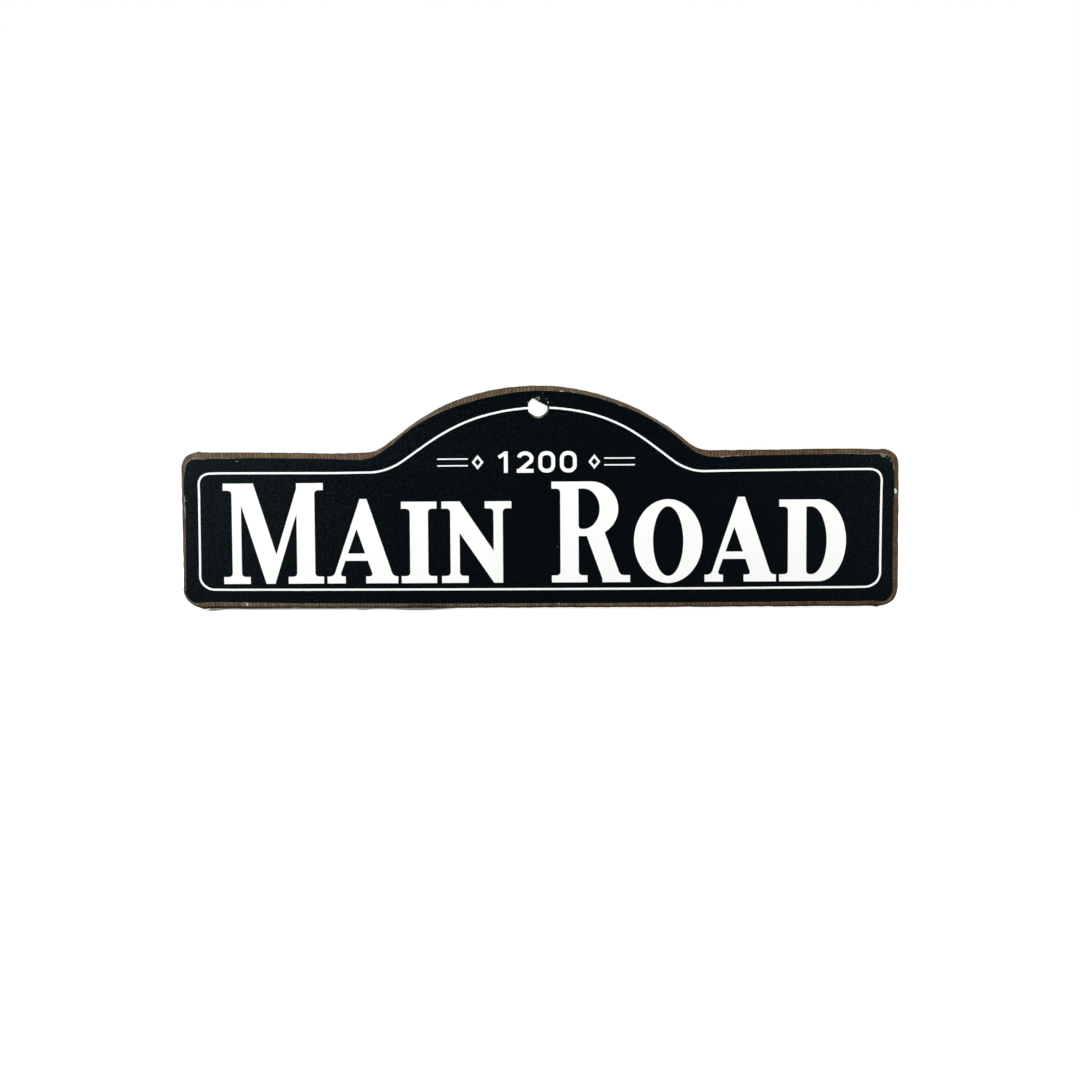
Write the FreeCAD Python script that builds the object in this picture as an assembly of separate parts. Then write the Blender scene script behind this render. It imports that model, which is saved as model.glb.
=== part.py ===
import FreeCAD, Part
import math
import os

# Crested name sign: a bevelled fibreboard panel, the printed sheet on its face and the white border line.
# Millimetres. X runs to the right along the sign, Z is up, and the face looks towards -Y.
# The origin is on the axis of the hanging hole, in the plane of the back.

# Board outline, at the back and along the square land of the edge
board_width = 203.2
shoulder_height = 44.45
crest_rise = 18.45
crest_shift = -0.45
arch_radius = 63.8
shoulder_fillet_radius = 9.5
top_corner_radius = 4.3
bottom_corner_radius = 6.1
board_thickness = 3.0
edge_land = 0.7

# Hanging hole, centred on the board's width
hanging_hole_diameter = 6.35
hole_below_crest = 6.3

# Bevel: how far the face stands in from the board outline on each side, and how its curves differ
bevel_left = 1.75
bevel_right = 2.25
bevel_bottom = 1.63
bevel_shoulder = 1.82
bevel_crest = 1.85
face_crest_shift = 0.3
face_arch_flattening = 1.35
face_fillet_tightening = 2.5
face_top_corner_radius = 3.7
face_bottom_corner_radius = 4.7

# Printed sheet glued on the face, cut to the face outline
sheet_thickness = 0.2

# Border line: margins from the sheet's edge to the line, and the line's own curves
border_margin_left = 3.7
border_margin_right = 3.3
border_margin_bottom = 3.65
border_margin_shoulder = 3.78
border_arch_tightening = 11.0
border_fillet_easing = 9.2
border_flank_length = 7.3
border_top_corner_radius = 3.4
border_bottom_corner_radius = 4.6
border_line_width = 0.57
border_line_thickness = 0.08

# Levels along Y, from the back at 0 towards the face
bevel_start_y = -edge_land
board_face_y = -board_thickness
sheet_face_y = board_face_y - sheet_thickness
line_face_y = sheet_face_y - border_line_thickness

# Height of the hole's centre over the bottom edge
hole_height = shoulder_height + crest_rise - hole_below_crest


# One round stretch of an outline: its angles are in degrees, from +X towards +Z
class Bend:
    def __init__(self, x, z, radius, start, end):
        self.x = x
        self.z = z
        self.radius = radius
        self.start = start
        self.end = end

    def point(self, angle, y):
        turn = math.radians(angle)
        return FreeCAD.Vector(self.x + self.radius * math.cos(turn), y, self.z + self.radius * math.sin(turn))

    def edge(self, y):
        middle = (self.start + self.end) / 2
        return Part.Arc(self.point(self.start, y), self.point(middle, y), self.point(self.end, y)).toShape()


# A crested panel: straight sides and shoulders, rounded corners, and an arch that a hollow fillet
# joins to the shoulder on each side, with a straight flank between the two where it has a length.
# Heights are over the board's bottom edge.
class CrestedOutline:
    def __init__(self, left, right, bottom, shoulder, crest, crest_x, arch, fillet, flank, top_corner, bottom_corner):
        self.left = left
        self.right = right
        self.bottom = bottom
        self.shoulder = shoulder
        self.crest = crest
        self.crest_x = crest_x
        self.arch = arch
        self.fillet = fillet
        self.flank = flank
        self.top_corner = top_corner
        self.bottom_corner = bottom_corner

    # The same outline, drawn in by one distance all round
    def inset(self, distance):
        return CrestedOutline(
            self.left + distance,
            self.right - distance,
            self.bottom + distance,
            self.shoulder - distance,
            self.crest - distance,
            self.crest_x,
            self.arch - distance,
            self.fillet + distance,
            self.flank,
            self.top_corner - distance,
            self.bottom_corner - distance,
        )

    # The round stretches, clockwise from the bottom left corner, in the sign's frame
    def bends(self):
        both_radii = self.arch + self.fillet
        centre_distance = math.hypot(both_radii, self.flank)
        fillet_over_arch = self.shoulder + self.fillet - (self.crest - self.arch)
        fillet_reach = math.sqrt(centre_distance**2 - fillet_over_arch**2)
        arch_end = math.degrees(math.atan2(fillet_over_arch, fillet_reach) + math.atan2(self.flank, both_radii))
        top = self.shoulder - self.top_corner
        low = self.bottom + self.bottom_corner
        fillet_z = self.shoulder + self.fillet
        rounds = [
            Bend(self.left + self.bottom_corner, low, self.bottom_corner, 270, 180),
            Bend(self.left + self.top_corner, top, self.top_corner, 180, 90),
            Bend(self.crest_x - fillet_reach, fillet_z, self.fillet, 270, 360 - arch_end),
            Bend(self.crest_x, self.crest - self.arch, self.arch, 180 - arch_end, arch_end),
            Bend(self.crest_x + fillet_reach, fillet_z, self.fillet, 180 + arch_end, 270),
            Bend(self.right - self.top_corner, top, self.top_corner, 90, 0),
            Bend(self.right - self.bottom_corner, low, self.bottom_corner, 0, -90),
        ]
        for bend in rounds:
            bend.z -= hole_height
        return rounds

    # Closed wire at one level of Y: each bend, then the straight run to the next one if they are apart
    def wire(self, y):
        rounds = self.bends()
        edges = []
        for bend, following in zip(rounds, rounds[1:] + rounds[:1]):
            edges.append(bend.edge(y))
            run_start = bend.point(bend.end, y)
            run_end = following.point(following.start, y)
            if run_start.distanceToPoint(run_end) > 1e-6:
                edges.append(Part.LineSegment(run_start, run_end).toShape())
        return Part.Wire(edges)

    def plate(self, back_y, front_y):
        return Part.Face(self.wire(back_y)).extrude(FreeCAD.Vector(0, front_y - back_y, 0))


# The board's outline, and the ones that follow it inwards: the face and the border line
def board_outline():
    return CrestedOutline(
        left=-board_width / 2,
        right=board_width / 2,
        bottom=0,
        shoulder=shoulder_height,
        crest=shoulder_height + crest_rise,
        crest_x=crest_shift,
        arch=arch_radius,
        fillet=shoulder_fillet_radius,
        flank=0,
        top_corner=top_corner_radius,
        bottom_corner=bottom_corner_radius,
    )


def face_outline():
    board = board_outline()
    return CrestedOutline(
        left=board.left + bevel_left,
        right=board.right - bevel_right,
        bottom=board.bottom + bevel_bottom,
        shoulder=board.shoulder - bevel_shoulder,
        crest=board.crest - bevel_crest,
        crest_x=board.crest_x + face_crest_shift,
        arch=board.arch + face_arch_flattening,
        fillet=board.fillet - face_fillet_tightening,
        flank=0,
        top_corner=face_top_corner_radius,
        bottom_corner=face_bottom_corner_radius,
    )


# The line's crest runs through the middle of the hanging hole
def border_outline():
    face = face_outline()
    return CrestedOutline(
        left=face.left + border_margin_left,
        right=face.right - border_margin_right,
        bottom=face.bottom + border_margin_bottom,
        shoulder=face.shoulder - border_margin_shoulder,
        crest=hole_height + border_line_width / 2,
        crest_x=0,
        arch=face.arch - border_arch_tightening,
        fillet=face.fillet + border_fillet_easing,
        flank=border_flank_length,
        top_corner=border_top_corner_radius,
        bottom_corner=border_bottom_corner_radius,
    )


# Straight drill along Y through every layer
def hanging_hole():
    overrun = board_thickness
    depth = -line_face_y + 2 * overrun
    start = FreeCAD.Vector(0, overrun, 0)
    return Part.makeCylinder(hanging_hole_diameter / 2, depth, start, FreeCAD.Vector(0, -1, 0))


# Square land at the back, then the bevel ruled from the board outline to the smaller face outline,
# which makes the sloped edge wider on one side than on the other
def make_board():
    land = board_outline().plate(0, bevel_start_y)
    bevel = Part.makeLoft([board_outline().wire(bevel_start_y), face_outline().wire(board_face_y)], True, True)
    return land.fuse(bevel).removeSplitter().cut(hanging_hole())


def make_face_sheet():
    return face_outline().plate(board_face_y, sheet_face_y).cut(hanging_hole())


# A band of even width, open where the hole cuts through it
def make_border_line():
    outer = border_outline()
    inner = outer.inset(border_line_width)
    band = outer.plate(sheet_face_y, line_face_y).cut(inner.plate(sheet_face_y, line_face_y))
    return band.cut(hanging_hole())


parts = {
    "board": make_board(),
    "face_sheet": make_face_sheet(),
    "border_line": make_border_line(),
}

os.makedirs("parts", exist_ok=True)
for name, shape in parts.items():
    shape.exportStep("parts/" + name + ".step")
    box = shape.BoundBox
    print(name, "valid", shape.isValid(), "solids", len(shape.Solids), "volume", round(shape.Volume, 2))
    print("  X", round(box.XMin, 2), round(box.XMax, 2), "Y", round(box.YMin, 2), round(box.YMax, 2))
    print("  Z", round(box.ZMin, 2), round(box.ZMax, 2))
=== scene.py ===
import math

import bmesh
import bpy
import numpy as np
from mathutils import Matrix, Vector
from mathutils.geometry import delaunay_2d_cdt


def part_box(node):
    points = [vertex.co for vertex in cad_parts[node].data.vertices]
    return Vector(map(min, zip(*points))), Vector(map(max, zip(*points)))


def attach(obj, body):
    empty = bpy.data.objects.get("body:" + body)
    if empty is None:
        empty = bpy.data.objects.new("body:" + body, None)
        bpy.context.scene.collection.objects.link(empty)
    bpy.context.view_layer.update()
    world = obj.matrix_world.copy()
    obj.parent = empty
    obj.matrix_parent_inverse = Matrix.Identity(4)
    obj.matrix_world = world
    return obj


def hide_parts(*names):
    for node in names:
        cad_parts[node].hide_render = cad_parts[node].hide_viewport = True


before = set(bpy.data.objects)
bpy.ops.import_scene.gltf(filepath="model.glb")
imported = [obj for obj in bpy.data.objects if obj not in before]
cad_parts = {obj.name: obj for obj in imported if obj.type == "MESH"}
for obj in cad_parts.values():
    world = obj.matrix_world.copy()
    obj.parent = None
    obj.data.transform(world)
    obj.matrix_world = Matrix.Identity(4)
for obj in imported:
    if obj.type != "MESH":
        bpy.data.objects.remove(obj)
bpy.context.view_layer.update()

# A small crested name sign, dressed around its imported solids.
# Lengths are in millimetres until a mesh is made. X runs to the right, Z up, and the printed face
# looks towards -Y. The origin is on the axis of the hanging hole, in the plane of the back.
# A mark, wherever one is listed, is its middle (x, z), half width, half height and strength.
millimetre = 0.001


def nodeBox(node):
    low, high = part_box(node)
    return np.array(low) / millimetre, np.array(high) / millimetre


boardLow, boardHigh = nodeBox("board")
sheetLow, sheetHigh = nodeBox("face_sheet")
lineLow, lineHigh = nodeBox("border_line")
boardFaceY = boardLow[1]
sheetFaceY = sheetLow[1]
lineFaceY = lineLow[1]
holeRadius = 3.175


# Node trees

def pick(sockets, key):
    shown = [socket for socket in sockets if socket.enabled]
    if isinstance(key, int):
        return shown[key]
    return next(socket for socket in shown if key in (socket.name, socket.identifier))


class Wire:
    # One output socket. Arithmetic on it adds Math nodes to its tree.
    def __init__(self, tree, socket):
        self.tree = tree
        self.socket = socket

    def out(self, name):
        return Wire(self.tree, pick(self.socket.node.outputs, name))

    def maths(self, operation, *values):
        return self.tree.add("ShaderNodeMath", dict(enumerate(values)), operation=operation)

    def __add__(self, other):
        return self.maths("ADD", self, other)

    def __radd__(self, other):
        return self.maths("ADD", other, self)

    def __sub__(self, other):
        return self.maths("SUBTRACT", self, other)

    def __rsub__(self, other):
        return self.maths("SUBTRACT", other, self)

    def __mul__(self, other):
        return self.maths("MULTIPLY", self, other)

    def __rmul__(self, other):
        return self.maths("MULTIPLY", other, self)

    def __truediv__(self, other):
        return self.maths("DIVIDE", self, other)

    def floor(self):
        return self.maths("FLOOR", self)

    def cosine(self):
        return self.maths("COSINE", self)

    def larger(self, other):
        return self.maths("MAXIMUM", self, other)

    def smaller(self, other):
        return self.maths("MINIMUM", self, other)

    # 0 where this is at start, 1 where it is at end, and a soft step between
    def ramp(self, start, end):
        values = {"Value": self, "From Min": start, "From Max": end}
        return self.tree.add("ShaderNodeMapRange", values, interpolation_type="SMOOTHSTEP")


class Tree:
    # A shader or geometry tree that is written one node at a time
    def __init__(self, nodeTree):
        self.nodeTree = nodeTree

    def add(self, kind, values=None, **settings):
        node = self.nodeTree.nodes.new(kind)
        for name, value in settings.items():
            setattr(node, name, value)
        for key, value in (values or {}).items():
            self.feed(pick(node.inputs, key), value)
        return Wire(self, pick(node.outputs, 0)) if node.outputs else node

    def feed(self, socket, value):
        if isinstance(value, Wire):
            self.nodeTree.links.new(value.socket, socket)
        elif socket.type == "RGBA":
            socket.default_value = (*value, 1)
        else:
            socket.default_value = value

    # A value that is stored on the mesh, read by a material or by a geometry tree
    def attribute(self, name):
        return self.add("ShaderNodeAttribute", attribute_name=name).out("Fac")

    def field(self, name):
        return self.add("GeometryNodeInputNamedAttribute", {"Name": name}, data_type="FLOAT")

    def mixColour(self, share, first, second):
        return self.add("ShaderNodeMix", {"Factor": share, "A": first, "B": second}, data_type="RGBA")

    def vectorMaths(self, operation, *values):
        return self.add("ShaderNodeVectorMath", dict(enumerate(values)), operation=operation)

    def stretch(self, place, factors):
        return self.vectorMaths("MULTIPLY", place, factors)

    def length(self, vector):
        return self.vectorMaths("LENGTH", vector).out("Value")

    def part(self, vector, axis):
        return self.add("ShaderNodeSeparateXYZ", {"Vector": vector}).out(axis)

    def combine(self, x, y, z):
        return self.add("ShaderNodeCombineXYZ", {"X": x, "Y": y, "Z": z})

    def noise(self, place, scale, detail=3, roughness=0.55):
        values = {"Vector": place, "Scale": scale, "Detail": detail, "Roughness": roughness}
        return self.add("ShaderNodeTexNoise", values)

    def bump(self, height, strength, depth):
        values = {"Height": height, "Strength": strength, "Distance": depth * millimetre}
        return self.add("ShaderNodeBump", values)


# A material tree, and the surface point in millimetres
def newMaterial(name):
    material = bpy.data.materials.new(name)
    material.use_nodes = True
    material.node_tree.nodes.clear()
    tree = Tree(material.node_tree)
    metres = tree.add("ShaderNodeTexCoord").out("Object")
    return material, tree, tree.stretch(metres, (1 / millimetre,) * 3)


def finishMaterial(tree, values):
    tree.add("ShaderNodeOutputMaterial", {"Surface": tree.add("ShaderNodeBsdfPrincipled", values)})


# A mark is whole up to the first share of its half width and half height, and gone at the second
markFade = (0.35, 1.25)


# The strength of a small mark at its middle, falling to 0 outside it
def markMask(tree, place, mark):
    x, z, halfWidth, halfHeight, strength = mark
    moved = tree.vectorMaths("ADD", place, (-x, 0, -z))
    scaled = tree.stretch(moved, (1 / halfWidth, 0, 1 / halfHeight))
    return (1 - tree.length(scaled).ramp(*markFade)) * strength


def marksMask(tree, place, marks):
    total = 0
    for mark in marks:
        total = markMask(tree, place, mark) + total
    return total


# Materials

# In the settings of a finish, a bump is a strength and a depth, a noise is a scale for each millimetre, a
# detail and a roughness, and an entry that ends in Along is where a change starts and ends: along Z for
# the low edge and the top band, and along X for the rest.
boardFinish = {
    "paleRib": (0.235, 0.165, 0.098),
    "redRib": (0.155, 0.096, 0.058),
    # The groove colour is partly painted shade in the grooves, partly the fibres' own darker tone
    "groove": (0.046, 0.030, 0.018),
    "skin": (0.040, 0.025, 0.014),
    "fringe": (0.24, 0.205, 0.155),
    "paleFringe": (90.0, -13.9, 9.0, 1.4, 0.4),
    "darkStrip": (-100.87, -28.0, 0.36, 5.3, 0.8),
    "palePlaces": [
        (-34.0, -4.5, 11.0, 8.0, 0.22),
        (33.5, -4.5, 9.0, 7.0, 0.22),
        (-95.5, -13.3, 7.0, 4.0, 0.18),
    ],
    # A near-black line along the left half of the foot: painted shade
    "footShade": (0.010, 0.008, 0.006),
    "chip": (0.88, 0.86, 0.82),
    "leftTint": (0.60, 0.655, 0.75),
    "middleTint": (0.768, 0.75, 0.74),
    # The right tint darkens the edge, a painted shade, and reddens it
    "rightTint": (0.562, 0.488, 0.404),
    # The low tints brighten the edge where it faces down: a painted fill light
    "lowLeftPaintedFill": (1.7, 1.82, 1.96),
    "lowRightPaintedFill": (1.55, 1.62, 1.68),
    "greenTint": (0.945, 1.045, 1.0),
    "redTint": (1.06, 0.95, 0.99),
    "back": (0.135, 0.078, 0.038),
    "backSpeck": (0.062, 0.032, 0.015),
    "backFibre": (0.24, 0.155, 0.085),
    "layerNoise": (1.7, 4, 0.62),
    "layerStretch": (1, 4.5, 1),
    "fineNoise": (5.5, 3, 0.6),
    "broadNoise": (0.13, 2),
    "patchNoise": (0.42, 2),
    "hueNoise": (0.33, 4, 0.65),
    "speckNoise": (1.4, 5, 0.75),
    "fibreNoise": (0.9, 4, 0.75),
    "lyingStretch": (0.5, 1, 3.4),
    "standingStretch": (3.4, 1, 0.5),
    "cloudNoise": (0.035, 4, 0.6),
    "lowEdgeAlong": (-55.2, -53.5),
    "grooveFadesAlong": (60, 100),
    "fringeFadesAlong": (-70, 40),
    "leftEndAlong": (-101.2, -98.6),
    "rightTintAlong": (-10, 80),
    "lowPaintedFillAlong": (-60, 10),
    "footShadeFadesAlong": (-10, 25),
    "roughness": 0.8,
    "specular": 0.1,
    "bump": (0.55, 0.12),
}
# Pale chips in the sloped edge
rimChips = [
    (-82.85, -54.92, 0.26, 0.28, 1.6),
    (-83.25, -55.42, 0.32, 0.2, 1.5),
    (-83.55, -54.62, 0.24, 0.2, 1.2),
    (-83.1, -55.1, 0.6, 0.5, 0.45),
    (-83.3, -55.0, 0.18, 0.18, -1.5),
    (-84.5, -55.1, 0.24, 0.22, 0.8),
    (5.6, -55.15, 0.36, 0.24, 1.2),
    (-20.8, -55.4, 0.6, 0.2, 0.35),
    (100.25, -24.15, 0.6, 0.72, 1.4),
    (99.8, -23.5, 0.25, 0.36, 0.8),
    (6.6, 4.46, 0.52, 0.13, 1.2),
    (9.9, 4.15, 0.36, 0.12, 0.65),
    (51.7, -14.1, 0.55, 0.11, 0.5),
    (47.8, -14.05, 0.5, 0.12, 0.56),
    (53.2, -14.05, 1.3, 0.13, 0.45),
    (55.9, -13.86, 1.3, 0.13, 0.43),
    (92.2, -13.85, 1.2, 0.12, 0.4),
    (95.6, -14.0, 0.8, 0.2, 0.4),
]


def makeFibreboard():
    finish = boardFinish
    material, tree, place = newMaterial("brownFibreboard")
    across, onRim = tree.attribute("across"), tree.attribute("onRim")
    layers = tree.noise(tree.stretch(place, finish["layerStretch"]), *finish["layerNoise"])
    fine = tree.noise(place, *finish["fineNoise"])
    broad = tree.noise(place, *finish["broadNoise"])
    patches = tree.noise(place, *finish["patchNoise"])
    x = tree.part(place, "X")
    lowEdge = 1 - tree.part(place, "Z").ramp(*finish["lowEdgeAlong"])

    # The sloped edge: ribs in light and dark, with their grooves darker, partly painted shade in the grooves
    # and partly the fibres' own darker patches, a dark skin along the outer line, a paler line by the face
    rimColour = tree.mixColour(tree.attribute("ribTone"), finish["redRib"], finish["paleRib"])
    gap = 1 - tree.attribute("rib").ramp(0.1, 0.6)
    fibres = (layers - 0.5) * 1.5 + (fine - 0.5) + (patches - 0.5) * 1.6
    depth = 0.5 - lowEdge * 0.06 - x.ramp(*finish["grooveFadesAlong"]) * 0.14
    groove = gap * depth + fibres + 0.08
    rimColour = tree.mixColour(groove.ramp(0.0, 0.95), rimColour, finish["groove"])
    outerLine = 1 - (across - lowEdge * 0.17 + (layers - 0.5) * 0.16).ramp(0.22, 0.36)
    rimColour = tree.mixColour(outerLine * 0.9, rimColour, finish["skin"])
    byFace = (across + (fine - 0.5) * 0.2 + (broad - 0.5) * 0.4).ramp(0.95, 1.04)
    paleness = 0.5 - x.ramp(*finish["fringeFadesAlong"]) * 0.35 + markMask(tree, place, finish["paleFringe"])
    rimColour = tree.mixColour(byFace * paleness, rimColour, finish["fringe"])
    rimColour = tree.mixColour(markMask(tree, place, finish["darkStrip"]), rimColour, finish["skin"])

    # The cut edge is greyer at the left end, and darker and redder towards the right, where the darkening is
    # a painted shade; it is paler below, where a painted fill light brightens the edge that faces down
    tint = tree.mixColour(x.ramp(*finish["leftEndAlong"]), finish["leftTint"], finish["middleTint"])
    tint = tree.mixColour(x.ramp(*finish["rightTintAlong"]), tint, finish["rightTint"])
    lowPaintedFill = tree.mixColour(x.ramp(*finish["lowPaintedFillAlong"]), finish["lowLeftPaintedFill"], finish["lowRightPaintedFill"])
    tint = tree.stretch(tint, tree.mixColour(lowEdge, (1, 1, 1), lowPaintedFill))
    hue = tree.noise(place, *finish["hueNoise"]).ramp(0.36, 0.64)
    tint = tree.stretch(tint, tree.mixColour(hue, finish["greenTint"], finish["redTint"]))
    rimColour = tree.stretch(rimColour, tint)

    # Over the tints: paler places, a dark line along the left half of the foot, which is painted shade where
    # the foot meets its shadow on the floor, and the chips
    rimColour = tree.mixColour(marksMask(tree, place, finish["palePlaces"]), rimColour, finish["fringe"])
    footShade = outerLine * lowEdge * (0.5 - x.ramp(*finish["footShadeFadesAlong"]) * 0.5)
    rimColour = tree.mixColour(footShade, rimColour, finish["footShade"])
    chips = marksMask(tree, place, rimChips) * (0.2 + fine * 1.7)
    rimColour = tree.mixColour(chips.ramp(0.35, 0.7), rimColour, finish["chip"])

    # The back: smooth pressed board with dark specks, short pale fibres and broad darker clouds
    specks = tree.noise(place, *finish["speckNoise"]).ramp(0.52, 0.62)
    lying = tree.stretch(place, finish["lyingStretch"])
    lying = tree.noise(lying, *finish["fibreNoise"]).ramp(0.57, 0.66)
    standing = tree.stretch(place, finish["standingStretch"])
    standing = tree.noise(standing, *finish["fibreNoise"]).ramp(0.6, 0.68)
    clouds = tree.noise(place, *finish["cloudNoise"]).ramp(0.35, 0.7)
    backColour = tree.mixColour(clouds * 0.35, finish["back"], finish["backSpeck"])
    backColour = tree.mixColour(specks * 0.75, backColour, finish["backSpeck"])
    backColour = tree.mixColour(lying * 0.45 + standing * 0.3, backColour, finish["backFibre"])

    finishMaterial(tree, {
        "Base Color": tree.mixColour(onRim, backColour, rimColour),
        "Roughness": finish["roughness"] + (fine - 0.5) * 0.25 - (1 - onRim) * 0.18,
        "Specular IOR Level": finish["specular"],
        "Normal": tree.bump(layers * 0.6 + fine * 0.4, *finish["bump"]),
    })
    return material


printFinish = {
    "ink": (0.0002, 0.0006, 0.0013),
    # The pale inks are what the painted sheen and the mottle lighten the ink towards
    "greenPaleInk": (0.0044, 0.0076, 0.0080),
    "violetPaleInk": (0.0060, 0.0068, 0.0096),
    # The painted sheen: where it is least, how fast it grows to the sides, and how it grows upwards
    "sheenMiddle": 22,
    "sheenReach": 125,
    "sheenHeight": 60,
    "sheenLevel": 1.51,
    "topBandAlong": (-20, -15),
    "broadNoise": (0.035, 2),
    "cloudNoise": (0.35, 4, 0.6),
    "grainNoise": (1.25, 4, 0.65),
    "hueNoise": (0.8, 3, 0.7),
    "tearNoise": (1.5, 4, 0.7),
    "paperNoise": (2.2, 3, 0.6),
    "paper": (0.25, 0.225, 0.185),
    "darkPaper": (0.10, 0.09, 0.07),
    "greenPaper": (0.17, 0.19, 0.145),
    "fleck": (0.27, 0.26, 0.235),
    "roughness": 0.34,
    "specular": 0.035,
    "sheen": (0.55, 0.85, 1.0),
    "bump": (0.12, 0.05),
}
# The torn corner of the print, and other small marks on it
tornCorner = [
    (96.35, -14.15, 0.85, 0.6, 1.3),
    (98.7, -15.4, 0.22, 0.5, 0.7),
    (99.2, -17.3, 0.18, 1.3, 0.9),
]
printMarks = [
    (-84.95, -14.65, 0.4, 0.14, 0.8),
    (-18.3, -39.4, 0.42, 0.22, 0.5),
    (5.2, -39.2, 0.35, 0.3, 0.3),
    (6.6, -38.6, 0.2, 0.45, 0.2),
    (7.0, -40.6, 0.25, 0.2, 0.22),
    (93.1, -15.6, 0.13, 1.0, 0.22),
    (1.3, 3.9, 0.13, 0.75, 0.26),
    (-2.95, 1.3, 0.2, 0.36, 0.45),
    (2.45, 2.3, 0.2, 0.2, 0.55),
    (3.75, 1.4, 0.15, 0.15, 0.2),
    (-99.6, -25.7, 0.45, 0.13, 0.7),
    (-99.95, -25.1, 0.17, 1.1, 0.9),
    (-99.94, -28.9, 0.22, 3.4, 0.8),
    (97.6, -14.9, 0.55, 0.2, 0.35),
    (98.3, -15.7, 0.25, 0.5, 0.3),
    (-14.2, -33.9, 0.3, 0.25, 0.12),
    (58.0, -20.4, 0.2, 0.2, 0.15),
    (22.95, 0.5, 0.55, 0.24, 0.8),
]


def makeBlackPrint():
    finish = printFinish
    material, tree, place = newMaterial("blackPrint")
    broad = tree.noise(place, *finish["broadNoise"])
    cloud = tree.noise(place, *finish["cloudNoise"])
    grain = tree.noise(place, *finish["grainNoise"])

    # The ink is painted lighter most at the top left, a little at the right, and least right of the middle: a
    # painted sheen, as of a soft lamp reflected towards the sides, with random patches and a mottle of the
    # ink's own tone over it
    aside = (tree.part(place, "X") - finish["sheenMiddle"]) / finish["sheenReach"]
    z = tree.part(place, "Z")
    topBand = z.ramp(*finish["topBandAlong"])
    higher = z / finish["sheenHeight"] + finish["sheenLevel"] + topBand * 0.3
    paintedSheen = aside * aside * higher + topBand * 0.08 + (broad - 0.5) * 0.4 - 0.06
    mottle = (cloud - 0.5) * 1.4 + (grain - 0.5) * 10.5
    hue = tree.noise(place, *finish["hueNoise"]).ramp(0.38, 0.62)
    paleInk = tree.mixColour(hue, finish["greenPaleInk"], finish["violetPaleInk"])
    strength = (paintedSheen + mottle * (paintedSheen * 0.4 + 0.3)).larger(0)
    colour = tree.mixColour(strength, finish["ink"], paleInk)

    # Torn paper shows where the sheet is chipped along its edge, greenish at the top right corner, and
    # small pale marks lie over the rest
    ragged = tree.noise(place, *finish["tearNoise"]) * 2.6 - 0.6
    torn = 1 - (tree.attribute("fromEdge") - tree.attribute("wear") * ragged).ramp(-0.06, 0.04)
    paperTone = tree.noise(place, *finish["paperNoise"]).ramp(0.35, 0.6)
    paper = tree.mixColour(paperTone, finish["darkPaper"], finish["paper"])
    colour = tree.mixColour(torn, colour, paper)
    bare = marksMask(tree, place, tornCorner) * (grain * 2 - 0.2)
    colour = tree.mixColour(bare.ramp(0.25, 0.7) * 0.9, colour, finish["greenPaper"])
    marks = marksMask(tree, place, printMarks) * (0.4 + grain)
    colour = tree.mixColour(marks.ramp(0.05, 0.75), colour, finish["fleck"])

    finishMaterial(tree, {
        "Base Color": colour,
        "Roughness": finish["roughness"] + (grain - 0.5) * 0.2 + torn * 0.4,
        "Specular IOR Level": finish["specular"],
        "Specular Tint": finish["sheen"],
        "Normal": tree.bump(grain * 0.5 + cloud * 0.5, *finish["bump"]),
    })
    return material


whiteFinish = {
    "clean": (0.985, 0.985, 0.965),
    "soiled": (0.87, 0.87, 0.84),
    "soiling": 0.4,
    "cloudNoise": (0.25, 3),
    "grainNoise": (2.6, 4, 0.65),
    "roughness": 0.4,
    "specular": 0.15,
    "bump": (0.1, 0.04),
}


def makeWhitePrint():
    finish = whiteFinish
    material, tree, place = newMaterial("whitePrint")
    cloud = tree.noise(place, *finish["cloudNoise"])
    grain = tree.noise(place, *finish["grainNoise"])
    soil = ((cloud - 0.5) * 0.8 + grain.ramp(0.58, 0.8) * 0.5).ramp(0.1, 1.0)
    finishMaterial(tree, {
        "Base Color": tree.mixColour(soil * finish["soiling"], finish["clean"], finish["soiled"]),
        "Roughness": finish["roughness"] + (grain - 0.5) * 0.2,
        "Specular IOR Level": finish["specular"],
        "Normal": tree.bump(grain, *finish["bump"]),
    })
    return material


paperFinish = {
    "dark": (0.075, 0.058, 0.045),
    "pale": (0.33, 0.30, 0.26),
    "toneNoise": (1.8, 3, 0.6),
    "roughness": 0.85,
    "specular": 0.15,
}


def makeTornPaper():
    finish = paperFinish
    material, tree, place = newMaterial("tornPaper")
    tone = tree.noise(place, *finish["toneNoise"]).ramp(0.3, 0.7)
    finishMaterial(tree, {
        "Base Color": tree.mixColour(tone, finish["dark"], finish["pale"]),
        "Roughness": finish["roughness"],
        "Specular IOR Level": finish["specular"],
    })
    return material


# The fuzz is near-black: in the burr a painted shade of the bore's wall over its own dark fibre, in the
# lining as black as the print
fuzzFinish = {
    "dark": (0.0006, 0.0008, 0.001),
    "fibre": (0.006, 0.0055, 0.005),
    "pale": (0.56, 0.54, 0.46),
    "toneNoise": (2.4, 4, 0.7),
    "roughness": 0.75,
    "specular": 0.06,
    "bump": (0.8, 0.15),
}


def makeDrillFuzz():
    finish = fuzzFinish
    material, tree, place = newMaterial("drillBurr")
    tone = tree.noise(place, *finish["toneNoise"])
    colour = tree.mixColour(tone.ramp(0.42, 0.66), finish["dark"], finish["fibre"])
    pale = (tree.attribute("pale") * (0.45 + tone * 1.1)).larger(0)
    colour = tree.mixColour(pale, colour, finish["pale"])
    finishMaterial(tree, {
        "Base Color": colour,
        "Roughness": finish["roughness"],
        "Specular IOR Level": finish["specular"],
        "Normal": tree.bump(tone, *finish["bump"]),
    })
    return material


fibreboard = makeFibreboard()
blackPrint = makeBlackPrint()
whitePrint = makeWhitePrint()
tornPaper = makeTornPaper()
drillFuzz = makeDrillFuzz()
print("materials made")


# Meshes

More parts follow.
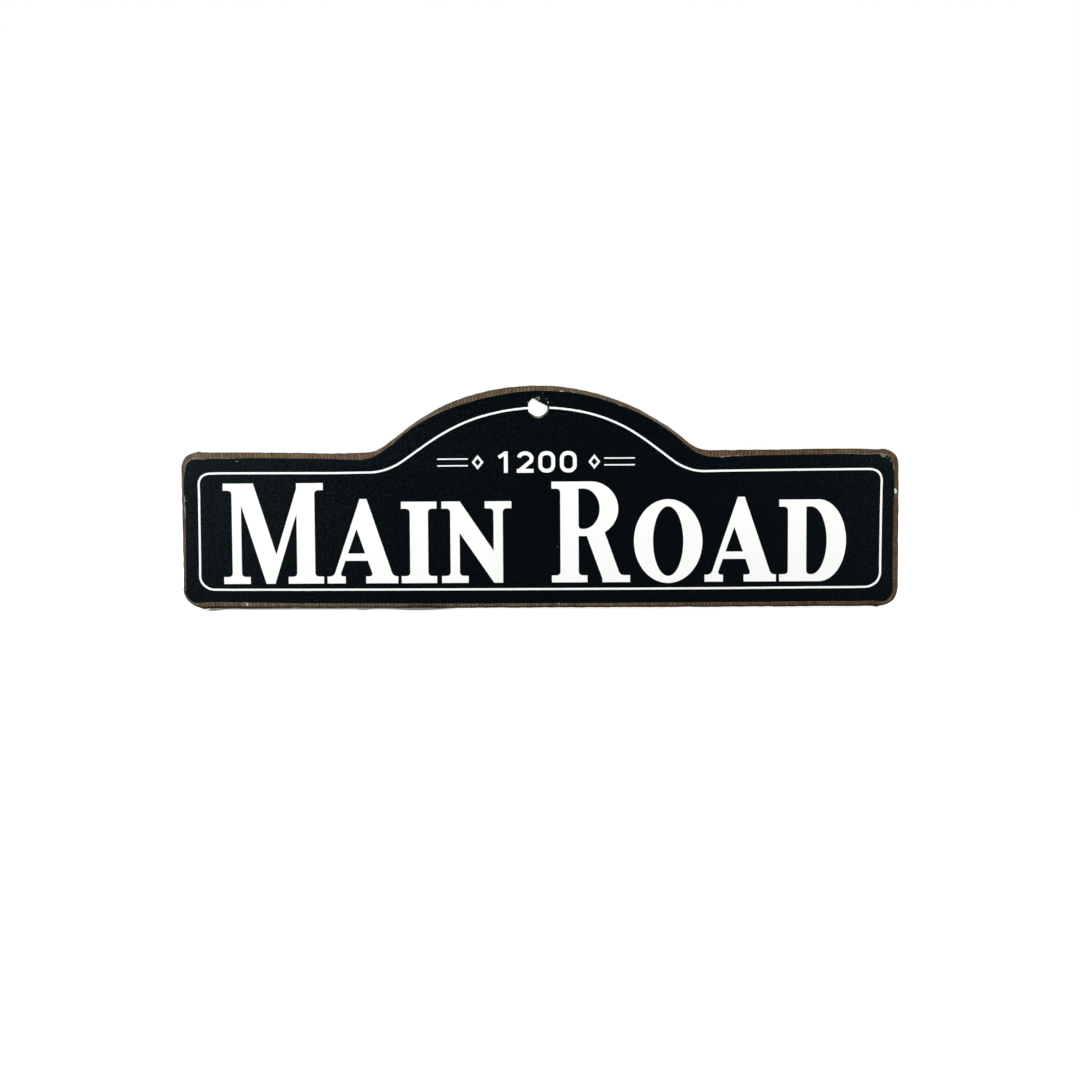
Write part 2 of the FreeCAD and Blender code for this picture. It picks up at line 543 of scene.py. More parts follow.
# Even shares of the way round a closed loop, from 0 up
def shares(count):
    return np.linspace(0, 1, count, endpoint=False)


# A smooth random wave round a closed loop; share runs from 0 to 1 round it
def wander(share, seed, slowest, fastest):
    waves = 24
    random = np.random.default_rng(seed)
    counts = random.integers(slowest, fastest, waves)
    phases = random.uniform(0, 2 * math.pi, waves)
    strengths = random.uniform(0.4, 1, waves)
    total = np.zeros(len(share))
    for count, phase, strength in zip(counts, phases, strengths):
        total += strength * np.sin(2 * math.pi * count * share + phase)
    return total / math.sqrt((strengths**2).sum())


# Whether the points run counter-clockwise
def turnedLeft(points):
    following = np.roll(points, -1, axis=0)
    return (points[:, 0] * following[:, 1] - following[:, 0] * points[:, 1]).sum() > 0


def counterClockwise(form):
    points = np.array(form, float)
    return points if turnedLeft(points) else points[::-1]


# Triangles that fill the forms, taken together, outside the cuts: the flat points, the triangles,
# and for each point the places that it has in the forms and cuts, one after the other
def fillFlat(forms, cuts):
    points = []
    faces = []
    for form in forms + cuts:
        faces.append(list(range(len(points), len(points) + len(form))))
        points += [Vector(point) for point in counterClockwise(form)]
    insideOnly, tolerance = 1, 1e-6
    filled = delaunay_2d_cdt(points, [], faces, insideOnly, tolerance)
    flat, triangles, pointSources, faceSources = filled[0], filled[2], filled[3], filled[5]
    kept = [face for face, sources in zip(triangles, faceSources) if sources and max(sources) < len(forms)]
    return flat, kept, pointSources


def plainMesh(name, points, faces, edges=()):
    mesh = bpy.data.meshes.new(name)
    mesh.from_pydata([Vector(point) * millimetre for point in points], edges, faces)
    return mesh


def storeValues(mesh, name, values):
    layer = mesh.attributes.new(name, "FLOAT", "POINT")
    layer.data.foreach_set("value", np.array(values, np.float32))


# Drops the points that no face uses, and turns every face outwards
def cleanMesh(mesh):
    work = bmesh.new()
    work.from_mesh(mesh)
    loose = [vertex for vertex in work.verts if not vertex.link_faces]
    bmesh.ops.delete(work, geom=loose, context="VERTS")
    bmesh.ops.recalc_face_normals(work, faces=work.faces)
    work.to_mesh(mesh)
    work.free()


# Rings of points that are joined into one closed shell, with values at each point
class Shell:
    def __init__(self, *names):
        self.points = []
        self.faces = []
        self.values = {name: [] for name in names}

    def ring(self, flat, y, **values):
        start = len(self.points)
        count = len(flat)
        self.points += [(x, depth, z) for (x, z), depth in zip(flat, np.broadcast_to(y, count))]
        for name, stored in self.values.items():
            stored += list(np.broadcast_to(values.get(name, 0), count))
        return np.arange(start, start + count)

    def walls(self, rings):
        for first, second in zip(rings, rings[1:]):
            corners = [first, np.roll(first, -1), np.roll(second, -1), second]
            self.faces += np.stack(corners, 1).tolist()

    # Fills between an outer ring and a hole's ring, on their own points
    def cap(self, outer, hole):
        owners = []
        forms = []
        for ring in (outer, hole):
            flat = np.array([(self.points[i][0], self.points[i][2]) for i in ring])
            turned = turnedLeft(flat)
            owners += [int(i) for i in (ring if turned else ring[::-1])]
            forms.append(flat if turned else flat[::-1])
        triangles, sources = fillFlat(forms[:1], forms[1:])[1:]
        self.faces += [[owners[sources[i][0]] for i in triangle] for triangle in triangles]

    # Closes a ring with triangles to one point
    def fan(self, ring, place, y, **values):
        middle = self.ring([place], y, **values)[0]
        for start, end in zip(ring, np.roll(ring, -1)):
            self.faces.append([int(start), int(end), int(middle)])

    def mesh(self, name):
        mesh = plainMesh(name, self.points, self.faces)
        for key, stored in self.values.items():
            storeValues(mesh, key, stored)
        cleanMesh(mesh)
        return mesh


def joinMeshes(name, meshes):
    work = bmesh.new()
    for mesh in meshes:
        work.from_mesh(mesh)
        bpy.data.meshes.remove(mesh)
    joined = bpy.data.meshes.new(name)
    work.to_mesh(joined)
    work.free()
    return joined


def smoothUpTo(mesh, degrees):
    mesh.polygons.foreach_set("use_smooth", [True] * len(mesh.polygons))
    mesh.set_sharp_from_angle(angle=math.radians(degrees))


def addToScene(name, data):
    thing = bpy.data.objects.new(name, data)
    bpy.context.scene.collection.objects.link(thing)
    return thing


def newPiece(name, mesh, material):
    mesh.materials.append(material)
    return addToScene(name, mesh)


def declare(piece, slot, *nodes):
    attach(piece, "root")
    if nodes:
        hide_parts(*nodes)


# White print is raised from just inside the sheet to the face of the border line
inkSunk = 0.02


# Flat forms, taken together and without their cuts, as one closed mesh of white print
def raisedMesh(forms, cuts):
    flat, triangles = fillFlat(forms, cuts)[:2]
    count = len(flat)
    points = [(p.x, y, p.y) for y in (lineFaceY, sheetFaceY + inkSunk) for p in flat]
    faces = [list(t) for t in triangles] + [[i + count for i in reversed(t)] for t in triangles]
    sides = dict.fromkeys(side for t in triangles for side in zip(t, t[1:] + t[:1]))
    for start, end in sides:
        if (end, start) not in sides:
            faces.append([start, end, end + count, start + count])
    mesh = plainMesh("print", points, faces)
    cleanMesh(mesh)
    return mesh


# A piece of white print from solids, each given by its forms and its cuts
def whitePiece(name, solids, *nodes):
    mesh = joinMeshes(name, [raisedMesh(forms, cuts) for forms, cuts in solids])
    declare(newPiece(name, mesh, whitePrint), "white_print", *nodes)
    return len(mesh.polygons)


# Outlines

# Round stretches of a crested outline, clockwise from the bottom left corner:
# centre x and z, radius, and start and end angle in degrees
def outlineBends(form):
    arch, fillet = form["arch"], form["fillet"]
    bothRadii = arch + fillet
    centreDistance = math.hypot(bothRadii, form["flank"])
    filletZ = form["shoulder"] + fillet
    over = filletZ - (form["crest"] - arch)
    reach = math.sqrt(centreDistance**2 - over**2)
    archEnd = math.degrees(math.atan2(over, reach) + math.atan2(form["flank"], bothRadii))
    left, right, crestX = form["left"], form["right"], form["crestX"]
    topRadius, lowRadius = form["topCorner"], form["bottomCorner"]
    top = form["shoulder"] - topRadius
    low = form["bottom"] + lowRadius
    return [
        (left + lowRadius, low, lowRadius, 270, 180),
        (left + topRadius, top, topRadius, 180, 90),
        (crestX - reach, filletZ, fillet, 270, 360 - archEnd),
        (crestX, form["crest"] - arch, arch, 180 - archEnd, archEnd),
        (crestX + reach, filletZ, fillet, 180 + archEnd, 270),
        (right - topRadius, top, topRadius, 90, 0),
        (right - lowRadius, low, lowRadius, 0, -90),
    ]


def bendPoint(bend, angle):
    x, z, radius = bend[:3]
    turn = np.radians(angle)
    return np.stack([x + radius * np.cos(turn), z + radius * np.sin(turn)], -1)


# Each bend, with the two ends of the straight run that follows it
def bendsAndRuns(form):
    bends = outlineBends(form)
    stretches = []
    for bend, following in zip(bends, bends[1:] + bends[:1]):
        stretches.append((bend, bendPoint(bend, bend[4]), bendPoint(following, following[3])))
    return stretches


# How many points each bend and each run takes at about this spacing
def stretchCounts(form, spacing):
    counts = []
    for bend, start, end in bendsAndRuns(form):
        length = bend[2] * math.radians(abs(bend[4] - bend[3]))
        run = np.hypot(*(end - start))
        counts.append((max(4, round(length / spacing)), round(run / spacing)))
    return counts


# Points round the outline, so many to each stretch; outlines with the same counts pair up
def outlinePoints(form, counts):
    stretches = []
    for (bend, start, end), (bendCount, runCount) in zip(bendsAndRuns(form), counts):
        angles = np.linspace(bend[3], bend[4], bendCount, endpoint=runCount == 0)
        stretches.append(bendPoint(bend, angles))
        if runCount:
            share = shares(runCount)[:, None]
            stretches.append(start + (end - start) * share)
    points = np.concatenate(stretches)
    apart = np.hypot(*(points - np.roll(points, 1, axis=0)).T) > 1e-4
    return points[apart]


def outwardOf(points):
    along = np.roll(points, -1, axis=0) - np.roll(points, 1, axis=0)
    along /= np.hypot(along[:, 0], along[:, 1])[:, None]
    return np.stack([-along[:, 1], along[:, 0]], 1)


# Distance round the loop at each point, and the whole way round
def lengthRound(points):
    steps = np.hypot(*(np.roll(points, -1, axis=0) - points).T)
    return np.concatenate([[0], np.cumsum(steps)[:-1]]), steps.sum()


# The amount at each point of a loop, between marks that give a place near the loop and the amount there
def amountsRound(points, marks):
    distance, perimeter = lengthRound(points)
    places = []
    for x, z, amount in marks:
        places.append(distance[np.argmin(np.hypot(points[:, 0] - x, points[:, 1] - z))])
    return np.interp(distance, places, [mark[2] for mark in marks], period=perimeter)


def closeTo(points, place, halfWidth):
    distance = np.hypot(points[:, 0] - place[0], points[:, 1] - place[1])
    return np.exp(-((distance / halfWidth) ** 2))


crestShift = -0.45
boardShape = {
    "left": boardLow[0],
    "right": boardHigh[0],
    "bottom": boardLow[2],
    "shoulder": boardLow[2] + 44.45,
    "crest": boardHigh[2],
    "crestX": crestShift,
    "arch": 63.8,
    "fillet": 9.5,
    "flank": 0,
    "topCorner": 4.3,
    "bottomCorner": 6.1,
}
sheetShape = {
    "left": sheetLow[0],
    "right": sheetHigh[0],
    "bottom": sheetLow[2],
    "shoulder": boardShape["shoulder"] - 1.82,
    "crest": sheetHigh[2],
    "crestX": crestShift + 0.3,
    "arch": 65.15,
    "fillet": 7.0,
    "flank": 0,
    "topCorner": 3.7,
    "bottomCorner": 4.7,
}
lineShape = {
    "left": lineLow[0],
    "right": lineHigh[0],
    "bottom": lineLow[2],
    "shoulder": sheetShape["shoulder"] - 3.78,
    "crest": 0.285,
    "crestX": 0,
    "arch": 54.15,
    "fillet": 16.2,
    "flank": 7.3,
    "topCorner": 3.4,
    "bottomCorner": 4.6,
}


# How far the hand-guided cuts and the print stray inwards from the true outlines: x, z and distance,
# round the sign
boardStray = [
    (-97, -56, 0.15), (-99, -55, 0.07), (-101, -54, -0.24), (-101.6, -49, -0.1), (-101.6, -43, -0.07),
    (-101.6, -37, -0.09), (-101.6, -30, -0.03), (-101.6, -25, -0.05), (-101.6, -18, -0.06),
    (-100, -13, -0.16), (-95, -12, -0.22), (-83, -12, -0.14), (-75, -12, -0.05), (-67, -12, 0.11),
    (-61, -12, 0.28), (-55, -12, 0.28), (-48, -12, 0.05), (-44, -10, -0.08), (-40, -7, 0.14),
    (-33, -3, -0.03), (-26, 1, -0.26), (-19, 3, -0.16), (-11, 5, -0.06), (12, 5, 0.03),
    (33, -3, 0.01), (39, -7, -0.14), (43, -10, -0.12), (50, -12, 0.06), (67, -12, -0.01),
    (79, -12, -0.13), (86, -12, -0.16), (91, -12, -0.1), (95, -12, 0.12), (98, -12, 0.17),
    (100, -13, 0.16), (101.6, -18, 0.05), (101.6, -30, 0.01), (101.6, -36, -0.03), (101.6, -42, -0.05),
    (101.6, -49, 0.02), (101, -52, -0.1), (100, -54.5, -0.46), (98.5, -56, -0.24), (96, -56.6, 0.04),
    (87, -56.6, 0.0), (40, -56.6, -0.06), (-8, -56.6, -0.03), (-16, -56.6, -0.03), (-24, -56.6, -0.03),
    (-40, -56.6, 0.06), (-56, -56.6, 0.12), (-72, -56.6, 0.15), (-88, -56.6, 0.09),
]
sheetStray = [
    (-95.6, -55, 0.46), (-96.7, -55, 0.18), (-98.4, -54, -0.38), (-99.2, -52.6, -0.5), (-99.8, -51.4, -0.42),
    (-99.9, -50.6, -0.15), (-99.9, -49, -0.17), (-99.9, -45, -0.18), (-99.9, -38, -0.02), (-99.9, -31, 0.06),
    (-99.9, -28, -0.18), (-99.9, -24.8, -0.24), (-99.9, -22, -0.2), (-99.9, -19, -0.14), (-99.8, -17, 0.11),
    (-98.9, -15.2, -0.31), (-97.6, -14.3, -0.33), (-95, -14, -0.06), (-88, -14, -0.1), (-78, -14, -0.19),
    (-66, -14, 0.05), (-58, -14, 0.22), (-50, -14, 0.6), (-47, -14, -0.01), (-45, -13, -0.25),
    (-41, -10, 0.21), (-37.5, -7, -0.17), (-33, -5, -0.25), (-27, -1, -0.18), (-19, 2, 0.13), (-11, 3, 0.16),
    (-4, 4, -0.01), (4, 4, -0.08), (8, 4, -0.21), (12, 3, -0.22), (18.5, 2, -0.09), (27, -2, -0.13),
    (34, -5, -0.06), (37.5, -8, 0.02), (41, -11, 0.33), (46, -14, -0.04), (50, -14, 0.37), (57, -14, 0.18),
    (61, -14, -0.02), (66, -14, -0.06), (74, -14, -0.16), (82, -14, -0.28), (88, -14, -0.28),
    (93, -14, -0.22), (96, -14, -0.33), (97.3, -14.4, -0.38), (98.2, -15, -0.35), (98.9, -16.2, 0.12),
    (99.3, -19, -0.06), (99.3, -22.4, -0.13), (99.3, -25.5, 0.03), (99.3, -28.5, 0.09), (99.3, -31.6, 0.04),
    (99.3, -37, 0.17), (99.3, -44, 0.24), (99.3, -49, 0.18), (99.3, -50.7, 0.13), (99, -52, -0.18),
    (98.1, -53.5, -0.42), (97.4, -54.1, -0.52), (96.6, -54.5, -0.43), (95.8, -54.8, -0.14), (94.5, -55, 0.22),
    (87, -55, 0.1), (75, -55, 0.13), (65, -55, 0.0), (55, -55, 0.01), (44, -55, -0.06), (30, -55, -0.04),
    (20, -55, -0.11), (7, -55, -0.08), (-5, -55, -0.08), (-24, -55, -0.09), (-33, -55, 0.0), (-45, -55, 0.02),
    (-56, -55, 0.13), (-70, -55, 0.28), (-87, -55, 0.58), (-92.5, -55, 0.66),
]
lineStray = [
    (-92.2, -51.3, 0.19), (-94.9, -50, 0.0), (-95.8, -48.8, -0.1), (-96.2, -43.4, 0.0), (-96.2, -24, 0.07),
    (-95.1, -18.6, -0.05), (-93.6, -17.8, 0.04), (-89.5, -17.6, -0.05), (-76.6, -17.6, -0.01),
    (-57.4, -17.6, 0.08), (-50.9, -17.6, 0.01), (-46.4, -17.6, -0.04), (-41.3, -16.4, -0.17),
    (-38.9, -15.1, -0.17), (-29.5, -8.4, 0.09), (-17.9, -2.7, 0.1), (-11.9, -1, 0.21), (-5.8, 0, 0.24),
    (6.6, 0, 0.12), (12.7, -1.2, -0.03), (18.6, -3, -0.11), (24.3, -5.4, -0.05), (29.6, -8.5, 0.19),
    (38.9, -15.1, 0.37), (43.8, -17.2, 0.36), (46.4, -17.6, 0.2), (50.9, -17.6, 0.1), (63.7, -17.6, 0.0),
    (76.6, -17.6, -0.08), (89.4, -17.6, -0.13), (93.6, -17.8, -0.12), (95.2, -18.8, -0.27),
    (96, -20.3, -0.18), (96.2, -24.4, -0.08), (96.2, -30.8, 0.0), (96.2, -43.6, 0.12), (94.8, -50, 0.1),
    (93.6, -50.9, 0.16), (88.2, -51.4, 0.08), (75.3, -51.4, 0.05), (56, -51.4, -0.04), (24, -51.4, -0.08),
    (-8.3, -51.4, -0.06), (-39, -51.4, -0.01), (-63.8, -51.4, 0.05), (-88.4, -51.4, 0.15),
]


def strayed(points, marks):
    return points - outwardOf(points) * amountsRound(points, marks)[:, None]


def holePoints(count, radius):
    turn = np.linspace(0, 2 * math.pi, count, endpoint=False)
    return np.stack([radius * np.cos(turn), radius * np.sin(turn)], 1)


# Radius of the hole in the printed sheet, which overhangs the bore a little on the left
def sheetHoleRadius(flat):
    overhang, halfWidth = 0.36, 0.5
    turn = np.arctan2(flat[..., 1], -flat[..., 0])
    return holeRadius - overhang * np.exp(-((turn / halfWidth) ** 2))


# Geometry Nodes

# A tree with one geometry input and named inputs for its sizes
def newGeometryTree(name, inputs):
    group = bpy.data.node_groups.new(name, "GeometryNodeTree")
    group.interface.new_socket("Geometry", in_out="INPUT", socket_type="NodeSocketGeometry")
    for label, kind in inputs.items():
        group.interface.new_socket(label, in_out="INPUT", socket_type="NodeSocket" + kind)
    group.interface.new_socket("Geometry", in_out="OUTPUT", socket_type="NodeSocketGeometry")
    tree = Tree(group)
    return tree, tree.add("NodeGroupInput")


def endTree(tree, geometry, material):
    whole = tree.add("GeometryNodeRealizeInstances", {"Geometry": geometry})
    painted = tree.add("GeometryNodeSetMaterial", {"Geometry": whole, "Material": material})
    tree.add("NodeGroupOutput", {"Geometry": painted})
    return tree.nodeTree


# Runs the tree on the piece and keeps the plain mesh that it gives
def applyTree(piece, group, settings):
    modifier = piece.modifiers.new(group.name, "NODES")
    modifier.node_group = group
    for item in group.interface.items_tree:
        if item.in_out == "INPUT" and item.name in settings:
            modifier[item.identifier] = settings[item.name]
    graph = bpy.context.evaluated_depsgraph_get()
    evaluated = piece.evaluated_get(graph)
    mesh = bpy.data.meshes.new_from_object(evaluated, preserve_all_data_layers=True, depsgraph=graph)
    piece.modifiers.remove(modifier)
    piece.data = mesh


# The board

boardPiece = {
    "spacing": 0.133,
    "roughness": 0.035,
    "ribPitch": 1.06,
    "ribDepth": 0.16,
    "ribShake": 0.7,
    "shakeScale": 260,
    "leastRib": 0.45,
    "fibreDepth": 0.09,
    "fibreScale": 1500,
    "ribSeed": 11,
    "land": 0.7,
    "landRibs": 0.25,
    "ribGrowth": 1.6,
    "ribsFadeAt": 0.85,
    "fadedRibs": 0.5,
    "bevelWay": 2.9,
    "backEasing": [(0.26, 0.0), (0.09, -0.05), (0.0, -0.2)],
    "landRows": [-0.45, -0.68],
    "bevelRows": [0.05, 0.16, 0.28, 0.4, 0.52, 0.64, 0.76, 0.88, 1.0],
    "holeRows": [0.0, -0.5, -1.1, -1.8, -2.5, -3.0],
    "holePoints": 120,
    "holeEasing": 0.2,
    "holeSlack": 0.05,
    "holeRoughness": 0.035,
    "holeTone": 0.6,
}
# Small nubs and dips on the cut outline: place, half width and height
edgeNubs = [
    ((-96.75, -12.15), 0.75, 0.3),
    ((-95.85, -56.6), 0.75, 0.2),
    ((95.6, -56.6), 0.75, 0.26),
    ((97.4, -12.3), 1.2, 0.13),
]
nubHeight = 0.3


# Cutter ribs across the sloped edge, each of its own depth, and the roughness of cut fibres
def ribTree(settings, material):
    inputs = dict.fromkeys(("Rib Count", "Rib Depth", "Fibre Depth", "Seed"), "Float")
    tree, given = newGeometryTree("edgeRibs", inputs)
    position = tree.add("GeometryNodeInputPosition")
    shake = tree.noise(position, settings["shakeScale"], 2) - 0.5
    phase = tree.field("along") * given.out("Rib Count") + shake * settings["ribShake"]
    wave = 0.5 - (phase * (2 * math.pi)).cosine() * 0.5
    rank = phase.floor() + given.out("Seed")
    dice = tree.add("ShaderNodeTexWhiteNoise", {"W": rank}, noise_dimensions="1D")
    rib = wave * (settings["leastRib"] + dice * (1 - settings["leastRib"]))
    ribRise = (rib - 0.5) * given.out("Rib Depth") * tree.field("ribShare")
    fibre = tree.noise(position, settings["fibreScale"], 3, 0.6) - 0.5
    rise = ribRise + fibre * given.out("Fibre Depth") * tree.field("onRim")
    offset = tree.combine(*[tree.field("outward" + axis) * rise for axis in "XYZ"])
    geometry = given.out("Geometry")
    for name, value in (("rib", wave), ("ribTone", dice)):
        values = {"Geometry": geometry, "Name": name, "Value": value}
        geometry = tree.add("GeometryNodeStoreNamedAttribute", values, data_type="FLOAT", domain="POINT")
    moved = tree.add("GeometryNodeSetPosition", {"Geometry": geometry, "Offset": offset})
    return endTree(tree, moved, material)


def makeBoard():
    settings = boardPiece
    land = settings["land"]
    wholeWay = land + settings["bevelWay"]
    counts = stretchCounts(boardShape, settings["spacing"])
    outer = strayed(outlinePoints(boardShape, counts), boardStray)
    inner = strayed(outlinePoints(sheetShape, counts), sheetStray)
    outward = outwardOf(outer)
    distance, perimeter = lengthRound(outer)
    share = distance / perimeter
    lift = np.zeros(len(outer))
    for place, halfWidth, height in edgeNubs:
        lift += closeTo(outer, place, halfWidth) * height
    lift += wander(share, seed=5, slowest=20, fastest=160) * settings["roughness"]
    bevelWidth = np.hypot(*(outer - inner).T)
    bevelDepth = -boardFaceY - land
    slope = np.hypot(bevelWidth, bevelDepth)

    shell = Shell("along", "across", "onRim", "ribShare", "outwardX", "outwardY", "outwardZ")
    rings = []

    # A row round the edge, so far on its way from the back to the face. Ribs and fibres move it sideways,
    # out of the outline, and along Y.
    def addRow(points, y, way, ribShare, sideways=1.0, alongY=0.0, onRim=1.0):
        rings.append(shell.ring(
            points, y, along=share, across=way / wholeWay, onRim=onRim, ribShare=ribShare,
            outwardX=outward[:, 0] * sideways, outwardY=alongY, outwardZ=outward[:, 1] * sideways,
        ))

    for inset, y in settings["backEasing"]:
        onRim = 0.0 if y == 0 else 1.0
        addRow(outer + outward * (lift - inset)[:, None], y, -y, 0.0, sideways=onRim, onRim=onRim)
    for y in settings["landRows"]:
        addRow(outer + outward * lift[:, None], y, -y, settings["landRibs"])
    for step in settings["bevelRows"]:
        loose = 0.0 if step == 1.0 else 1.0
        points = outer + (inner - outer) * step + outward * (lift * (1 - step) ** 2)[:, None]
        ribShare = min(1.0, settings["landRibs"] + step * settings["ribGrowth"])
        if step > settings["ribsFadeAt"]:
            ribShare *= settings["fadedRibs"]
        addRow(
            points, -land - bevelDepth * step, land + step * settings["bevelWay"], ribShare * loose,
            sideways=bevelDepth / slope * loose, alongY=-bevelWidth / slope * loose,
        )
    shell.walls(rings)

    unit = holePoints(settings["holePoints"], 1.0)
    turns = shares(settings["holePoints"])
    holeRings = []
    for row, y in enumerate(settings["holeRows"]):
        ragged = wander(turns, seed=40 + row, slowest=4, fastest=40) * settings["holeRoughness"]
        radius = holeRadius + settings["holeSlack"] + ragged
        holeRings.append(shell.ring(unit * radius[:, None], y, across=settings["holeTone"], onRim=1.0))
    backRadius = holeRadius + settings["holeEasing"]
    backRing = shell.ring(holePoints(settings["holePoints"], backRadius), 0.0)
    shell.walls([backRing] + holeRings)
    shell.cap(rings[0], backRing)
    shell.cap(rings[-1], holeRings[-1])
    piece = newPiece("signBoard", shell.mesh("signBoard"), fibreboard)
    ribCount = round(perimeter / settings["ribPitch"])
    applyTree(piece, ribTree(settings, fibreboard), {
        "Rib Count": float(ribCount),
        "Rib Depth": settings["ribDepth"] * millimetre,
        "Fibre Depth": settings["fibreDepth"] * millimetre,
        "Seed": float(settings["ribSeed"]),
    })
    smoothUpTo(piece.data, 50)
    declare(piece, "fibreboard", "board")
    print("board made:", ribCount, "ribs,", len(piece.data.polygons), "faces")


makeBoard()

# The printed sheet

sheetPiece = {
    "spacing": 0.24,
    "edgeInset": -0.1,
    "edgeRoughness": 0.035,
    "chipRoughness": 0.35,
    "ringsIn": [0.0, 0.08, 0.18, 0.32, 0.5, 0.75],
    "rounding": [0.05, 0.012, 0.0, 0.0, 0.0, 0.0],
    "holePoints": 120,
    "holeRoughness": 0.03,
    "holeRings": [
        (0, boardFaceY, 0),
        (0, sheetFaceY + 0.03, 0),
        (0.1, sheetFaceY, 0.1),
        (0.25, sheetFaceY, 0.6),
    ],
    "leastWear": 0.02,
    "wearRoughness": 0.03,
}
# Chips in the edge of the sheet: place, half width and depth
edgeChips = [
    ((51.7, -14.2), 0.5, 0.05),
    ((96.4, -13.8), 0.9, 0.12),
]
# Where the paper shows, torn: place, reach along the edge and width of the torn strip
edgeWear = [
    ((-98.9, -15.0), 2.6, 0.34),
    ((-95.5, -13.9), 2.2, 0.26),
    ((-89.0, -13.9), 4.0, 0.15),
    ((-99.9, -28.2), 3.0, 0.08),
    ((-99.9, -44.0), 7.0, 0.1),
    ((6.6, 4.3), 0.7, 0.12),
    ((23.1, 0.4), 0.8, 0.32),
    ((51.7, -14.2), 0.7, 0.22),
    ((91.0, -13.9), 4.6, 0.2),
    ((96.4, -14.1), 1.3, 0.5),
    ((98.2, -15.3), 0.8, 0.2),
    ((99.2, -17.1), 1.1, 0.25),
]


# The points of the sheet's edge, the way outwards at each, and how torn it is there
def sheetEdge():
    settings = sheetPiece
    counts = stretchCounts(sheetShape, settings["spacing"])
    points = strayed(outlinePoints(sheetShape, counts), sheetStray)
    distance, perimeter = lengthRound(points)
    share = distance / perimeter
    outward = outwardOf(points)
    roughness = np.abs(wander(share, seed=23, slowest=60, fastest=700))
    inset = settings["edgeInset"] + roughness * settings["edgeRoughness"]
    ragged = 1 + settings["chipRoughness"] * wander(share, seed=29, slowest=200, fastest=900)
    for place, halfWidth, depth in edgeChips:
        inset += closeTo(points, place, halfWidth) * depth * ragged
    points = points - outward * inset[:, None]
    wear = settings["leastWear"] + wander(share, seed=17, slowest=8, fastest=60) * settings["wearRoughness"]
    for place, reach, width in edgeWear:
        wear += closeTo(points, place, reach) * width
    return points, outward, np.clip(wear, 0, 1)


sheetRim, sheetOutward, sheetWear = sheetEdge()


def makeSheet():
    settings = sheetPiece
    shell = Shell("fromEdge", "wear")
    rings = [shell.ring(sheetRim, boardFaceY, wear=sheetWear)]
    for inward, rounding in zip(settings["ringsIn"], settings["rounding"]):
        ring = sheetRim - sheetOutward * inward
        torn = sheetWear if inward < settings["ringsIn"][-1] else 0.0
        rings.append(shell.ring(ring, sheetFaceY + rounding, fromEdge=inward, wear=torn))
    shell.walls(rings)
    unit = holePoints(settings["holePoints"], 1.0)
    turns = shares(settings["holePoints"])
    ragged = wander(turns, seed=31, slowest=5, fastest=50) * settings["holeRoughness"]
    holeRings = []
    for outwards, y, inward in settings["holeRings"]:
        radius = sheetHoleRadius(unit) + outwards + ragged
        holeRings.append(shell.ring(unit * radius[:, None], y, fromEdge=inward))
    shell.walls(holeRings)
    shell.cap(rings[0], holeRings[0])
    shell.cap(rings[-1], holeRings[-1])
    piece = newPiece("faceSheet", shell.mesh("faceSheet"), blackPrint)
    smoothUpTo(piece.data, 30)
    declare(piece, "black_print", "face_sheet")
    print("printed sheet made:", len(piece.data.polygons), "faces")


makeSheet()

# The border line

linePiece = {"width": 0.57, "spacing": 0.5}


# The outline's points from the hole's right side round to its left side, cut where it enters the hole
def openAtHole(points):
    outside = np.hypot(points[:, 0], points[:, 1]) > sheetHoleRadius(points)
    start = int(np.argmax(outside & ~np.roll(outside, 1)))
    turned = np.roll(points, -start, axis=0)
    kept = turned[np.roll(outside, -start)]
    before = turned[-1]
    after = turned[len(kept)] if len(kept) < len(turned) else turned[0]
    return np.concatenate([[crossHole(before, kept[0])], kept, [crossHole(after, kept[-1])]])


# Where the short way from a point inside the hole to one outside meets the hole
def crossHole(inside, outside):
    low, high = 0.0, 1.0
    for _ in range(30):
        middle = (low + high) / 2
        point = inside + (outside - inside) * middle
        if np.hypot(*point) < sheetHoleRadius(point):
            low = middle
        else:
            high = middle
    return inside + (outside - inside) * high


def makeLine():
    settings = linePiece
    counts = stretchCounts(lineShape, settings["spacing"])
    outline = strayed(outlinePoints(lineShape, counts), lineStray)
    outer = openAtHole(outline)
    inner = openAtHole(outline - outwardOf(outline) * settings["width"])
    band = np.concatenate([outer, inner[::-1]])
    faceCount = whitePiece("borderLine", [([band], [])], "border_line")
    print("border line made:", faceCount, "faces")


makeLine()

# Lettering

letterPiece = {
    "left": -89.07,
    "baseline": -49.25,
    "capital": 28.35,
    "small": 22.95,
    "wordGap": 11.3,
    "thick": 5.1,
    "thin": 2.6,
    "slab": 1.97,
    "overhang": 2.45,
    "bracket": 1.25,
    "bracketOverlap": 0.12,
    "roundThick": 5.35,
    "overshoot": 0.3,
}
thick, thin = letterPiece["thick"], letterPiece["thin"]
slab, over = letterPiece["slab"], letterPiece["overhang"]


